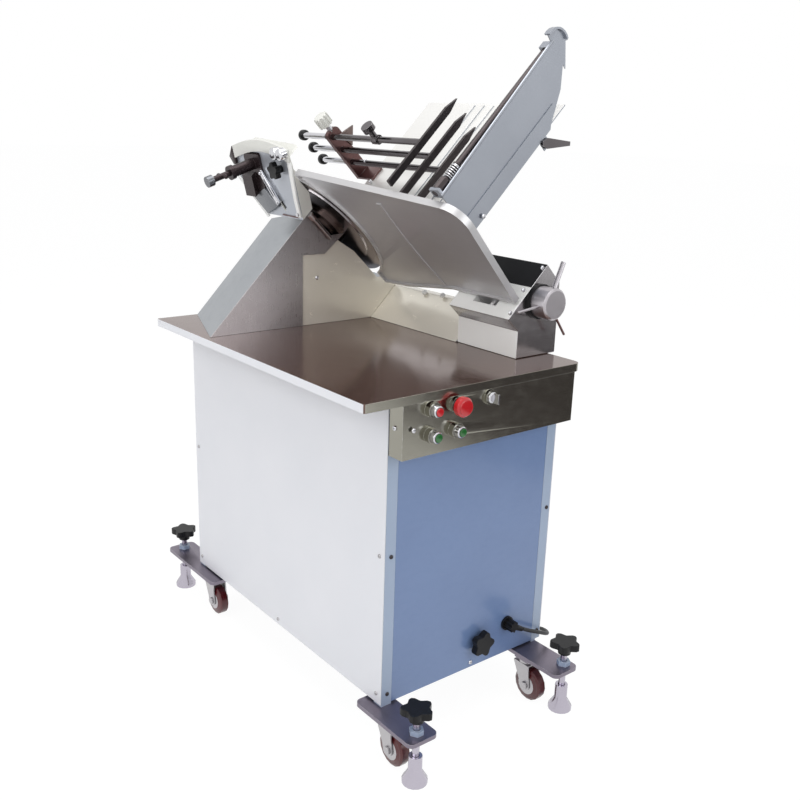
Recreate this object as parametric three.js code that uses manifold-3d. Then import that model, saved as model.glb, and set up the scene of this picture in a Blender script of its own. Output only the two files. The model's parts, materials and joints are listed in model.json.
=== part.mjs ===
// Floor-standing automatic meat slicer: a sheet-metal cabinet on casters and levelling feet,
// a worktop, and a slicing head whose blade leans 45 degrees over the worktop.
// Millimetres, +Z up. The front, with the controls, faces -Y.

import * as THREE from "three";
import { mergeVertices } from "three/addons/utils/BufferGeometryUtils.js";
import Module from "manifold-3d";

const wasm = await Module();
wasm.setup();

// Clearances and counts that several pieces share
const seatGap = 0.3;
const runGap = 0.5;
const cutOver = 2;
const roundSides = 20;
const smallSides = 10;
const cornerSteps = 6;
const mergeReach = 1e-4;

// Cabinet
const cabinetWidth = 420;
const cabinetDepth = 727;
const cabinetBottom = 106;
const worktopHeight = 715;
const postWidth = 23;
const railHeight = 22;
const railWidth = 20;
const panelThick = 1.5;
const panelRecess = 2;

// Worktop
const worktopLip = 16;
const worktopThick = 2.5;
const worktopEdgeWall = 3;
const worktopLeft = 84;
const worktopRight = 13;
const worktopFront = 41;
const worktopRear = 5;
const worktopCorner = 6;
const worktopFrontCorner = 16;

// Control box under the front of the worktop
const boxHeight = 112;
const boxDepth = 37;
const boxWall = 1.5;
const buttonFirstX = 60;
const buttonPitchX = 55;
const buttonTopDrop = 29;
const buttonPitchZ = 46;
const buttonHoleRadius = 11;
const buttonNeckRadius = 10.5;
const bezelRadius = 14;
const bezelDepth = 12;
const bezelLip = 3;
const buttonCapRadius = 10.5;
const buttonCapOut = 12;
const capEdgeShare = 0.2;
const mushroomRadius = 18;
const mushroomStand = 16;
const mushroomHeight = 13;
const stopCollarDepth = 8;
const keyX = 197;
const keyRadius = 10.5;
const keyCollarDepth = 6;
const keyDepth = 5;
const keyBowWidth = 4;
const keyBowHeight = 18;
const keyBowOut = 18;

// Front panel, its knob and the cable gland
const frontKnobX = 239;
const frontKnobRise = 54;
const frontKnobRadius = 27;
const frontKnobHeight = 15;
const frontKnobStand = 8;
const glandX = 318;
const glandRise = 68;
const glandRadius = 12;
const glandFlangeRadius = 15;
const glandFlangeDepth = 5;
const glandDomeDepth = 20;
const glandLobes = 8;
const reliefLength = 30;
const reliefBaseRadius = 7.5;
const reliefTipRadius = 5.2;

// Lobed knobs
const knobHubShare = 0.42;
const knobWaistShare = 0.7;
const knobLobes = 5;
const knobPointsPerLobe = 6;
const knobStudRadius = 5;

// Foot plates, casters and levelling feet
const footPlateThick = 8;
const footPlateWidth = 66;
const footPlateOut = 122;
const frontPlateIn = 46;
const rearPlateIn = 111;
const footPlateTop = 102;
const footPlateCorner = 12;
const footLeftX = 5;
const footRightX = 376;
const footRightShift = 14;
const footOut = 98;
const footScrewRadius = 7;
const footScrewHole = 7.5;
const footNutRadius = 14;
const footNutHeight = 9;
const footNutSides = 6;
const footKnobRadius = 31;
const footKnobBottom = 127;
const footKnobHeight = 28;
const footPadRadius = 24;
const footPadBase = 8;
const footPadNeckRadius = 13;
const footPadNeckFrom = 26;
const footPadHeight = 56;
const footPadSocket = 22;
const casterFrontOut = 38;
const casterRearIn = 77;
const casterWheelRadius = 35;
const casterRise = 2.5;
const casterTreadWidth = 26;
const casterTreadEdge = 5;
const casterHubRadius = 21;
const casterForkWall = 3;
const casterForkGap = 1.2;
const casterForkLength = 40;
const casterCrownThick = 3;
const casterPlateThick = 4;
const casterPlateHalf = 18;
const casterHeadRadius = 17;
const casterHeadHeight = 9;
const casterTrail = 14;
const footSides = 16;
const casterPinRadius = 5;
const casterPinHeadRadius = 8;
const casterPinHeadHeight = 2.5;
const casterAxleRadius = 4;
const casterNutRadius = 8;
const casterNutDepth = 4;
const casterEyeRadius = 12;

// Blade and its drive
const bladeTiltDegrees = 45;
const bladeRadius = 160;
const bladeBesideRight = 17;
const bladeFromBack = 162;
const bladeCentreX = cabinetWidth - bladeRadius - bladeBesideRight;
const bladeCentreY = cabinetDepth - bladeFromBack;
const bladeClearance = 58;
const bladeRise = bladeRadius + bladeClearance;
const bladeRingRadius = 122;
const bladeBevelRadius = 146;
const bladeThick = 7;
const bladeStep = 2;
const bladeEdge = 0.6;
const bladeHubRadius = 58;
const bladeHubDepth = 8;
const bladeBossRadius = 40;
const bladeBossDepth = 14;
const bladeNoseRadius = 22;
const bladeNoseDepth = 20;
const bladeSides = 64;
const spindleRadius = 17;
const bearingRadius = 28;
const bearingLength = 24;
const pulleyRadius = 30;
const motorPulleyRadius = 16;
const pulleyWidth = 18;
const pulleyRim = 3;
const beltWidth = 10;
const beltThick = 4;
const motorAcross = 90;
const motorDown = 48;
const motorRadius = 48;
const motorLength = 92;
const motorStand = 8;
const motorShaftRadius = 8;
const motorFlangeThick = 5;
const motorFlangeHalf = 28;
const motorFlangeTop = 60;

// Head base, with the sloping drip surface
const troughBelowBlade = 60;
const troughDepth = bladeRadius + troughBelowBlade;
const troughTopU = 10;
const baseCornerRadius = 8;

// Gauge housing
const housingDepth = 147;
const housingLeft = 47;
const housingRight = 91;
const housingDrop = 36;
const housingDropX = 12;
const housingFootIn = 79;
const housingOverhang = 29;
const housingFootX = cabinetWidth - housingFootIn;
const housingBackX = cabinetWidth + housingOverhang;
const housingStepRise = 55;
const housingFrontY = 45;
const housingRearY = 215;

// Tower and its cover
const sheetWall = 3;
const towerAhead = 57;
const towerFrontY = bladeCentreY - towerAhead;
const towerFootX = -70;
const towerTopW = 71;
const towerShoulderU = 56;
const towerTopU = 33;
const towerEdgeW = -4;
const towerSlopeW = 75;
const towerSlopeU = 15;
const towerBladeU = 13;
const towerBladeGap = 6;
const towerHeelW = 22;
const towerRearFoot = 81;
const towerRearTopW = 18;
const towerRearRidge = 4;
const towerOpeningInset = 40;
const towerOpeningHeight = 12;
const coverThick = 2;
const coverNotchX = 151;
const coverNotchRise = 153;
const coverNotchRun = 56;
const coverTail = 26;
const boltRadius = 4;
const boltHead = 14;
const boltHeadRadius = 7;
const boltInset = 8;

// Gauge plate and its dial
const gaugeThick = 9;
const gaugeClear = 1;
const gaugeFootY = 47;
const gaugeRightY = 20;
const gaugeRightTopW = 113;
const gaugeLeftAhead = 80;
const gaugeLeftY = bladeCentreY - gaugeLeftAhead;
const gaugeLeftTopW = 164;
const gaugeLeftLowW = 178;
const gaugeLowerW = 140;
const gaugeStepClear = 10;
const gaugeStepY = housingRearY + gaugeStepClear;
const gaugeStepIn = 85;
const gaugeStepRun = gaugeLeftY - gaugeStepY - gaugeStepIn;
const gaugeStepRise = 6;
const gaugeStepRadius = 60;
const gaugeCornerRadius = 46;
const gaugeBladeGap = 4;
const gaugeRimDepth = 5;
const gaugeRimWidth = 4;
const gaugeRibWidth = 14;
const gaugeRibHeight = 2;
const gaugeRibAhead = 303;
const gaugeRibY = bladeCentreY - gaugeRibAhead;
const gaugeRibBow = 10;
const gaugeRibTopW = 100;
const gaugeRibSteps = 12;
const gaugeTravel = 12;
const gaugeTongueWidth = 60;
const gaugeTongueDepth = 40;
const gaugeTongueY = 130;
const gaugeSlotGap = 2;
const gaugeBarRadius = 8;
const gaugeBarDrop = 24;
const gaugeBarSeat = 12;
const dialFromRight = 28;
const dialX = cabinetWidth - dialFromRight;
const dialRise = 109;
const dialRadius = 31;
const dialLength = 46;
const dialEdge = 4;
const dialRingRadius = 34;
const dialRingDepth = 9;
const dialShaftRadius = 7;
const dialShaftLength = 30;
const dialSpokeRadius = 5;
const dialSpokeLength = 52;
const dialThinSpokeRadius = 2.5;
const dialSpokeCount = 3;
const dialStartDegrees = 67;

// Carriage: slide shaft, arm, chute floor and side wall
const shaftRadius = 15;
const shaftFromRight = 2;
const shaftX = cabinetWidth - shaftFromRight;
const shaftRise = 135;
const shaftSeatLength = 20;
const shaftBlockThick = 22;
const shaftBlockHalf = 24;
const shaftBlockInset = 5;
const shaftPostLeft = 6;
const armFromY = 236;
const armLength = 96;
const armBossRadius = 24;
const armPostThick = 26;
const armGussetStart = 110;
const armPadThick = 8;
const armPadLength = 120;
const chuteRightY = 70;
const chuteLeftY = 467;
const chuteFloorW = 32;
const chuteThick = 2.5;
const chuteStartU = 10;
const chuteLength = 318;
const chuteHem = 12;
const ribCount = 9;
const ribPitch = 28;
const ribWidth = 10;
const ribHeight = 2;
const ribInset = 6;
const wallStartU = 4;
const wallLength = 368;
const wallTopLow = 128;
const wallTopHigh = 142;
const wallThick = 2;
const wallFootDrop = 3;
const wallFoldRise = 32;
const wallChamferStart = 268;
const wallChamferMid = 334;
const wallChamferRise = 36;
const railRadius = 3;
const rodBlockHalf = 9.5;
const lowerBlockLength = 6;
const upperBlockLength = 16;
const guideRodOut = 13;
const guideRodRise = 4;
const guideRodRadius = 6.5;
const sleeveRadius = 11;
const sleeveLength = 25;
const springEndU = 70;
const springStopLength = 3;
const springStopRadius = 8.5;
const springRadius = 9;
const springWire = 1.1;
const springCurls = 5;
const springSteps = 8;
const springSides = 5;
const capRadius = 29;
const capThick = 4;
const capDepth = 13;
const capOut = 2;
const capDrop = 9;
const capWebInset = 6;
const capWebDrop = 60;
const capFromDegrees = -22;
const capSweepDegrees = 125;
const capSteps = 8;
const capKnobRadius = 4;
const latchU = 244;
const latchDrop = 16;
const latchLength = 74;
const latchTail = 12;
const latchWidth = 20;
const latchThick = 4;
const latchPinRadius = 4;

// Divider bracket and rods
const bracketY = 500;
const bracketFootY = 447;
const bracketThick = 10;
const bracketEdge = 12;
const bracketWidth = 34;
const bracketTopW = 158;
const bracketFootThick = 5;
const rodU = 110;
const rodTopW = 143;
const rodPitch = 36;
const rodRadius = 6.5;
const rodBallRadius = 9;
const rodBallY = 612;
const rodBarY = 205;
const barWidth = 14;
const barThick = 6;
const barStartU = 5;
const barTipU = 224;
const barPointLength = 30;
const rodStopY = 337;
const rodStopLength = 16;
const rodStopRadius = 10;
const rodStopKnobStand = 24;
const rodStopKnobHeight = 13;
const rodStopKnobRadius = 13;
const clampKnobRadius = 16;
const clampKnobEdge = 3;
const clampKnobHeight = 24;
const clampNeckRadius = 5;
const clampNeckLength = 14;
const clampStud = 6;

// Blade shroud and sharpener
const shroudLeanDegrees = 14;
const shroudWall = 2;
const shroudRimWall = 3;
const shroudBladeGap = 2.2;
const bladeRoomGap = 1.1;
const shroudDepth = 32;
const shroudTop = 134;
const shroudCrown = 10;
const shroudCrownV = 115;
const shroudNearV = -60;
const shroudFarV = 181;
const shroudFarRise = 122;
const shroudSideRise = 78;
const shroudSideV = 146;
const shroudChamferRise = 54;
const shroudChamferV = 76;
const shroudCornerRadius = 22;
const shroudFaceU = -1;
const shroudOpenW = 182;
const shroudSlotWidth = 6;
const shroudSlots = [
  [59, 53, 29, 36],
  [18, 32, 4, 16],
];
const sharpenerV = 93;
const sharpenerRise = 109;
const sharpenerTiltDegrees = 19;
const sharpenerPlateWidth = 64;
const sharpenerPlateHeight = 84;
const sharpenerPlateAbove = 24;
const sharpenerPlateThick = 6;
const sharpenerPlateCorner = 8;
const sharpenerBlockWidth = 36;
const sharpenerBlockHeight = 46;
const sharpenerBlockOut = 20;
const sharpenerTubeRadius = 12.5;
const sharpenerTubeLength = 66;
const sharpenerCollar = 10;
const sharpenerBoreRadius = 7;
const sharpenerRodRadius = 6.5;
const sharpenerRodOut = 44;
const sharpenerEndRadius = 12;
const sharpenerEndLength = 14;
const sharpenerPinOut = 16;
const sharpenerPinRadius = 3;
const sharpenerPinBall = 5.5;
const sharpenerTravel = 12;
const sharpenerKnobV = -16;
const sharpenerKnobRise = 103;
const sharpenerKnobRadius = 19;
const sharpenerKnobHeight = 12;
const sharpenerKnobStand = 12;

// Mains cord: the route is the places the free lead passes through
const glandNeckRadius = 8;
const reliefAcross = 0.87;
const reliefForward = 0.16;
const reliefDown = 0.47;
const cordRadius = 4;
const cordSides = 8;
const cordStep = 20;
const cordGap = 0.6;
const leadRoute = [
  [390, -23, 138],
  [428, -14, 118],
  [454, 22, 102],
  [460, 110, 70],
  [452, 200, 26],
  [441, 270, 7],
  [438, 330, 5],
];
const coilLoops = 4;
const coilLayers = 2;
const coilMiddleRadius = 45;
const coilLoopSteps = 24;
const coilSides = 6;
const coilGap = 0.8;
const coilX = 492;
const coilY = 420;
const coilStartAngle = Math.PI;
const coilTailRise = 4.2;
const plugRadius = 17;
const plugLength = 32;
const plugShoulder = 6;
const plugPinRadius = 2.4;
const plugPinLength = 19;
const plugPinSpread = 19;
const plugNeckRadius = 6.5;
const plugNeckFlare = 3;
const plugNeckLength = 24;

// Finishes
const stainless = { color: 0xb9bcc0, roughness: 0.28, metalness: 1 };
const brightSteel = { color: 0xd8dadc, roughness: 0.18, metalness: 1 };
const darkSteel = { color: 0x4a4a4c, roughness: 0.35, metalness: 1 };
const castAluminium = { color: 0xc9cbcd, roughness: 0.42, metalness: 0.9 };
const whitePaint = { color: 0xdfe2e6, roughness: 0.4, metalness: 0.1 };
const bluePaint = { color: 0x7f93b8, roughness: 0.4, metalness: 0.1 };
const zincPlate = { color: 0xa9adb2, roughness: 0.35, metalness: 0.9 };
const blackPlastic = { color: 0x101012, roughness: 0.45, metalness: 0 };
const redTread = { color: 0x6a1218, roughness: 0.4, metalness: 0 };
const redCap = { color: 0xc01418, roughness: 0.25, metalness: 0 };
const greenCap = { color: 0x1f6a2c, roughness: 0.25, metalness: 0 };
const rubber = { color: 0x151515, roughness: 0.7, metalness: 0 };

// Solids: every helper turns a three.js geometry into a closed solid
function solidOf(geometry) {
  const bare = new THREE.BufferGeometry();
  const flat = geometry.index ? geometry.toNonIndexed() : geometry;
  bare.setAttribute("position", flat.getAttribute("position").clone());
  const merged = mergeVertices(bare, mergeReach);
  const mesh = (triVerts) =>
    new wasm.Mesh({
      numProp: 3,
      vertProperties: new Float32Array(merged.getAttribute("position").array),
      triVerts,
    });
  const faces = new Uint32Array(merged.index.array);
  const solid = new wasm.Manifold(mesh(faces));
  return solid.volume() < 0 ? new wasm.Manifold(mesh(faces.toReversed())) : solid;
}

function geometryOf(solid) {
  const mesh = solid.getMesh();
  const corners = new Float32Array(mesh.numVert * 3);
  for (let i = 0; i < mesh.numVert; i++) {
    corners.set(mesh.vertProperties.subarray(i * mesh.numProp, i * mesh.numProp + 3), i * 3);
  }
  const geometry = new THREE.BufferGeometry();
  geometry.setAttribute("position", new THREE.BufferAttribute(corners, 3));
  geometry.setIndex(new THREE.BufferAttribute(new Uint32Array(mesh.triVerts), 1));
  return geometry;
}

const joined = (first, ...rest) => rest.reduce((sum, piece) => sum.add(piece), first);
const cutBy = (first, ...rest) => rest.reduce((left, piece) => left.subtract(piece), first);

// An outline from corners [a, b] or [a, b, radius]; corners with a radius are rounded
function outline(corners, steps = cornerSteps) {
  const points = [];
  corners.forEach(([a, b, radius], i) => {
    const corner = new THREE.Vector2(a, b);
    if (!radius) {
      points.push(corner);
      return;
    }
    const [pa, pb] = corners.at(i - 1);
    const [na, nb] = corners[(i + 1) % corners.length];
    const back = new THREE.Vector2(pa, pb).sub(corner);
    const on = new THREE.Vector2(na, nb).sub(corner);
    const half = Math.acos(back.clone().normalize().dot(on.clone().normalize())) / 2;
    const reach = Math.min(radius / Math.tan(half), back.length() / 2, on.length() / 2);
    const from = corner.clone().addScaledVector(back.normalize(), reach);
    const to = corner.clone().addScaledVector(on.normalize(), reach);
    const arc = reach * Math.tan(half);
    const centre = corner.clone().addScaledVector(back.add(on).normalize(), arc / Math.sin(half));
    const start = from.sub(centre);
    const sweep = Math.atan2(start.cross(to.clone().sub(centre)), start.dot(to.sub(centre)));
    for (let step = 0; step <= steps; step++) {
      const turned = start.clone().rotateAround(new THREE.Vector2(), (sweep * step) / steps);
      points.push(turned.add(centre));
    }
  });
  if (THREE.ShapeUtils.isClockWise(points)) points.reverse();
  return points;
}

// The convex outline round a set of points
function hull(points) {
  const sorted = [...points].sort((p, q) => p.x - q.x || p.y - q.y);
  const chain = (list) => {
    const kept = [];
    list.forEach((point) => {
      while (kept.length > 1) {
        const [before, last] = kept.slice(-2);
        if (last.clone().sub(before).cross(point.clone().sub(before)) > 0) break;
        kept.pop();
      }
      kept.push(point);
    });
    return kept.slice(0, -1);
  };
  return [...chain(sorted), ...chain(sorted.toReversed())];
}

function circle(a, b, radius, sides = roundSides) {
  const points = [];
  for (let i = 0; i < sides; i++) {
    const angle = (i / sides) * 2 * Math.PI;
    points.push(new THREE.Vector2(a + radius * Math.cos(angle), b + radius * Math.sin(angle)));
  }
  return points;
}

function extrusion(points, length) {
  return new THREE.ExtrudeGeometry(new THREE.Shape(points), { depth: length, bevelEnabled: false });
}

// Prisms: an outline in two axes, run from one place to another along the third
function prismZ(points, from, to) {
  return solidOf(extrusion(points, to - from).translate(0, 0, from));
}

function prismY(points, from, to) {
  return solidOf(extrusion(points, to - from).rotateX(Math.PI / 2).translate(0, to, 0));
}

function prismX(points, from, to) {
  const turned = extrusion(points, to - from).rotateX(Math.PI / 2).rotateZ(Math.PI / 2);
  return solidOf(turned.translate(from, 0, 0));
}

function block(x0, x1, y0, y1, z0, z1) {
  const geometry = new THREE.BoxGeometry(x1 - x0, y1 - y0, z1 - z0);
  return solidOf(geometry.translate((x0 + x1) / 2, (y0 + y1) / 2, (z0 + z1) / 2));
}

// A turned piece: profile of [radius, height] corners about an axis through a place
function turned(profile, axis, place, sides = roundSides) {
  const points = profile.map(([radius, height]) => new THREE.Vector2(radius, height));
  const geometry = new THREE.LatheGeometry(points, sides);
  const along = new THREE.Vector3(...axis).normalize();
  geometry.applyQuaternion(
    new THREE.Quaternion().setFromUnitVectors(new THREE.Vector3(0, 1, 0), along),
  );
  return solidOf(geometry.translate(...place));
}

function rodBetween(from, to, radius, sides = smallSides) {
  const start = new THREE.Vector3(...from);
  const along = new THREE.Vector3(...to).sub(start);
  const profile = [[0, 0], [radius, 0], [radius, along.length()], [0, along.length()]];
  return turned(profile, along.toArray(), from, sides);
}

function ball(place, radius, sides = smallSides) {
  return solidOf(new THREE.SphereGeometry(radius, sides, sides / 2 + 1).translate(...place));
}

// An outline moved inwards by a wall, corner by corner
function inset(points, wall) {
  return points.map((point, i) => {
    const before = point.clone().sub(points.at(i - 1)).normalize();
    const after = points[(i + 1) % points.length].clone().sub(point).normalize();
    const inwards = new THREE.Vector2(-before.y - after.y, before.x + after.x).normalize();
    const lean = inwards.dot(new THREE.Vector2(-before.y, before.x));
    return point.clone().addScaledVector(inwards, wall / lean);
  });
}

// A loft along Y between two outlines of [x, z] with the same number of corners
function loftY(near, nearY, far, farY) {
  const corners = [];
  near.forEach(({ x, y }) => corners.push(x, nearY, y));
  far.forEach(({ x, y }) => corners.push(x, farY, y));
  const count = near.length;
  const faces = [];
  THREE.ShapeUtils.triangulateShape(near, []).forEach(([a, b, c]) => {
    faces.push(a, b, c);
  });
  THREE.ShapeUtils.triangulateShape(far, []).forEach(([a, b, c]) => {
    faces.push(a + count, c + count, b + count);
  });
  for (let i = 0; i < count; i++) {
    const next = (i + 1) % count;
    faces.push(i, i + count, next);
    faces.push(next, i + count, next + count);
  }
  const geometry = new THREE.BufferGeometry();
  geometry.setAttribute("position", new THREE.BufferAttribute(new Float32Array(corners), 3));
  geometry.setIndex(faces);
  return solidOf(geometry);
}

// Places on the head: u across the blade, w up the blade, turned into the cabinet's x and z
const tilt = THREE.MathUtils.degToRad(bladeTiltDegrees);
const bladeCentreZ = worktopHeight + bladeRise;

function headX(u, w) {
  return bladeCentreX + u * Math.cos(tilt) - w * Math.sin(tilt);
}

function headZ(u, w) {
  return bladeCentreZ + u * Math.sin(tilt) + w * Math.cos(tilt);
}

const headPoint = (u, w) => [headX(u, w), headZ(u, w)];

// Where the line at height w up the blade comes down to the worktop
function baseX(w) {
  const u = (worktopHeight - bladeCentreZ - w * Math.cos(tilt)) / Math.sin(tilt);
  return headX(u, w);
}

// The assembly: each part is a named mesh, in the group of what carries it
const slicer = new THREE.Group();
const head = new THREE.Group();
head.position.set(bladeCentreX, bladeCentreY, bladeCentreZ);
head.rotation.y = -tilt;
slicer.add(head);

function part(name, solid, finish, group = slicer) {
  const mesh = new THREE.Mesh(geometryOf(solid), new THREE.MeshStandardMaterial(finish));
  mesh.name = name;
  group.add(mesh);
  return mesh;
}

// A pivot is a group whose origin lies on a joint's axis
function pivot(name, place, group = slicer) {
  const frame = new THREE.Group();
  frame.position.set(...place);
  frame.userData.joint = name;
  group.add(frame);
  return frame;
}


// Where the feet and casters stand: one entry for each corner of the cabinet
const sides = [
  { side: "left", postX: 0, plateX: footLeftX, footX: footLeftX, casterX: footLeftX },
  {
    side: "right",
    postX: cabinetWidth - postWidth,
    plateX: footRightX,
    footX: footRightX + footRightShift,
    casterX: footRightX - footRightShift,
  },
];
const ends = [
  {
    end: "front",
    postY: 0,
    plateFrom: -footPlateOut,
    plateTo: frontPlateIn,
    footY: -footOut,
    casterY: casterTrail - casterFrontOut,
  },
  {
    end: "rear",
    postY: cabinetDepth - postWidth,
    plateFrom: cabinetDepth - rearPlateIn,
    plateTo: cabinetDepth + footPlateOut,
    footY: cabinetDepth + footOut,
    casterY: cabinetDepth + casterTrail - casterRearIn,
  },
];
const corners = ends.flatMap((end) => sides.map((side) => ({ ...side, ...end })));

// Heights in a caster, from its mounting plate down to its wheel
const plateBottom = footPlateTop - footPlateThick;
const casterMountZ = plateBottom - casterPlateThick;
const casterHeadTop = casterMountZ - runGap;
const casterHeadBottom = casterHeadTop - casterHeadHeight;
const casterAxleZ = casterRise + casterWheelRadius;

// Cabinet frame: posts, rails, leg stubs and foot plates welded together, with the caster pins
const postTop = worktopHeight - worktopThick - seatGap;

function footPlate({ plateX, plateFrom, plateTo, footX, footY, casterX, casterY, postX, postY }) {
  const left = plateX - footPlateWidth / 2;
  const right = plateX + footPlateWidth / 2;
  const plan = outline([
    [left, plateFrom, footPlateCorner],
    [right, plateFrom, footPlateCorner],
    [right, plateTo, footPlateCorner],
    [left, plateTo, footPlateCorner],
  ]);
  const plate = prismZ(plan, plateBottom, footPlateTop);
  const nutTop = footPlateTop + footNutHeight;
  const nut = prismZ(circle(footX, footY, footNutRadius, footNutSides), footPlateTop - cutOver, nutTop);
  const holeOutline = circle(footX, footY, footScrewHole, smallSides);
  const footHole = prismZ(holeOutline, plateBottom - cutOver, nutTop + cutOver);
  const stubLeft = Math.max(postX, left);
  const stubRight = Math.min(stubLeft + postWidth, right);
  const stubTop = cabinetBottom + cutOver;
  const stub = block(stubLeft, stubRight, postY, postY + postWidth, plateBottom, stubTop);
  const mount = prismZ(
    outline([
      [casterX - casterPlateHalf, casterY - casterPlateHalf],
      [casterX + casterPlateHalf, casterY - casterPlateHalf],
      [casterX + casterPlateHalf, casterY + casterPlateHalf],
      [casterX - casterPlateHalf, casterY + casterPlateHalf],
    ]),
    casterMountZ,
    footPlateTop - cutOver,
  );
  const pinHeadTop = casterHeadBottom - runGap;
  const pinBottom = pinHeadTop - casterPinHeadHeight;
  const pin = prismZ(circle(casterX, casterY, casterPinRadius, smallSides), pinBottom, plateBottom + cutOver);
  const pinHead = prismZ(circle(casterX, casterY, casterPinHeadRadius, smallSides), pinBottom, pinHeadTop);
  return joined(plate, nut, stub, mount, pin, pinHead).subtract(footHole);
}

function cabinetFrame() {
  const postMiddle = postWidth / 2;
  const toX = cabinetWidth - postMiddle;
  const toY = cabinetDepth - postMiddle;
  const posts = corners.map(({ postX, postY }) =>
    block(postX, postX + postWidth, postY, postY + postWidth, cabinetBottom, postTop),
  );
  const rails = [cabinetBottom, postTop - railHeight].flatMap((z) => [
    block(panelRecess, railWidth, postMiddle, toY, z, z + railHeight),
    block(cabinetWidth - railWidth, cabinetWidth - panelRecess, postMiddle, toY, z, z + railHeight),
    block(postMiddle, toX, panelRecess, railWidth, z, z + railHeight),
    block(postMiddle, toX, cabinetDepth - railWidth, cabinetDepth - panelRecess, z, z + railHeight),
  ]);
  return joined(...posts, ...rails, ...corners.map(footPlate));
}
part("cabinet_frame", cabinetFrame(), zincPlate);

// Side panels cover the posts; the front and rear panels sit between them
const panelTop = worktopHeight - worktopLip - seatGap;
const panelFrom = postWidth + seatGap;
const panelTo = cabinetWidth - postWidth - seatGap;
const frontPanelY = panelRecess - seatGap - panelThick;
const rearPanelY = cabinetDepth - panelRecess + seatGap;
const controlBoxBottom = postTop - boxHeight;
const frontKnobZ = cabinetBottom + frontKnobRise;
const glandZ = cabinetBottom + glandRise;

function sidePanel(x) {
  return block(x, x + panelThick, 0, cabinetDepth, cabinetBottom, panelTop);
}
part("left_side_panel", sidePanel(-panelThick - seatGap), whitePaint);
part("right_side_panel", sidePanel(cabinetWidth + seatGap), whitePaint);

function panelHole(x, z, radius) {
  const from = [x, frontPanelY - cutOver, z];
  const to = [x, frontPanelY + panelThick + cutOver, z];
  return rodBetween(from, to, radius, roundSides);
}

function frontPanel() {
  const top = controlBoxBottom - seatGap;
  const sheet = block(panelFrom, panelTo, frontPanelY, frontPanelY + panelThick, cabinetBottom, top);
  const knobHole = panelHole(frontKnobX, frontKnobZ, knobStudRadius + runGap);
  return cutBy(sheet, knobHole, panelHole(glandX, glandZ, glandNeckRadius + seatGap));
}
part("front_panel", frontPanel(), bluePaint);
part(
  "rear_panel",
  block(panelFrom, panelTo, rearPanelY, rearPanelY + panelThick, cabinetBottom, panelTop),
  bluePaint,
);

// A lobed hand knob on a stud, pointing along an axis from its seat
function knobOutline(radius, lobes) {
  const points = [];
  const count = lobes * knobPointsPerLobe;
  const middle = (radius * (1 + knobWaistShare)) / 2;
  const swing = radius - middle;
  for (let i = 0; i < count; i++) {
    const angle = (i / count) * 2 * Math.PI;
    const reach = middle + swing * Math.cos(angle * lobes);
    points.push(new THREE.Vector2(reach * Math.cos(angle), reach * Math.sin(angle)));
  }
  return points;
}

function prismAlong(points, axis, place, length) {
  const geometry = extrusion(points, length);
  const along = new THREE.Vector3(...axis).normalize();
  geometry.applyQuaternion(
    new THREE.Quaternion().setFromUnitVectors(new THREE.Vector3(0, 0, 1), along),
  );
  return solidOf(geometry.translate(...place));
}

function along(place, axis, distance) {
  const step = new THREE.Vector3(...axis).normalize().multiplyScalar(distance);
  return step.add(new THREE.Vector3(...place)).toArray();
}

function handKnob(knob) {
  const { place, axis, radius, height, stand, stud } = knob;
  const { studRadius = knobStudRadius, lobes = knobLobes } = knob;
  const crown = prismAlong(knobOutline(radius, lobes), axis, along(place, axis, stand), height);
  const hubTop = along(place, axis, stand + height / 2);
  const hub = rodBetween(along(place, axis, runGap), hubTop, radius * knobHubShare);
  const shank = rodBetween(along(place, axis, -stud), along(place, axis, stand), studRadius);
  return joined(crown, hub, shank);
}

const frontKnobFrame = pivot("front_panel_knob", [frontKnobX, frontPanelY, frontKnobZ]);
part(
  "front_panel_knob",
  handKnob({
    place: [0, 0, 0],
    axis: [0, -1, 0],
    radius: frontKnobRadius,
    height: frontKnobHeight,
    stand: frontKnobStand,
    stud: panelThick + cutOver,
  }),
  blackPlastic,
  frontKnobFrame,
);

// Worktop: a sheet with its edge folded down all round
function worktop() {
  const left = -worktopLeft;
  const right = cabinetWidth + worktopRight;
  const plan = outline([
    [left, -worktopFront, worktopCorner],
    [right, -worktopFront, worktopFrontCorner],
    [right, cabinetDepth + worktopRear, worktopCorner],
    [left, cabinetDepth + worktopRear, worktopCorner],
  ]);
  const outer = prismZ(plan, worktopHeight - worktopLip, worktopHeight);
  const bottom = worktopHeight - worktopLip - cutOver;
  return outer.subtract(prismZ(inset(plan, worktopEdgeWall), bottom, worktopHeight - worktopThick));
}
part("worktop", worktop(), stainless);

// Control box: a shallow box open to the cabinet, with a raised collar round each button
const boxFront = -boxDepth;
const boxBack = -seatGap;
const buttons = [
  { name: "stop_button", x: buttonFirstX, row: 0, finish: redCap },
  { name: "start_button", x: buttonFirstX, row: 1, finish: greenCap },
  { name: "carriage_button", x: buttonFirstX + buttonPitchX, row: 1, finish: greenCap },
];
const buttonZ = (row) => postTop - buttonTopDrop - row * buttonPitchZ;
const stopX = buttonFirstX + buttonPitchX;

function collar(x, z, depth, radius) {
  return rodBetween([x, boxFront - depth, z], [x, boxFront + boxWall, z], radius, roundSides);
}

function collarHole(x, z, radius) {
  return rodBetween([x, boxFront - boxDepth, z], [x, boxFront + boxWall + cutOver, z], radius, roundSides);
}

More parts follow.
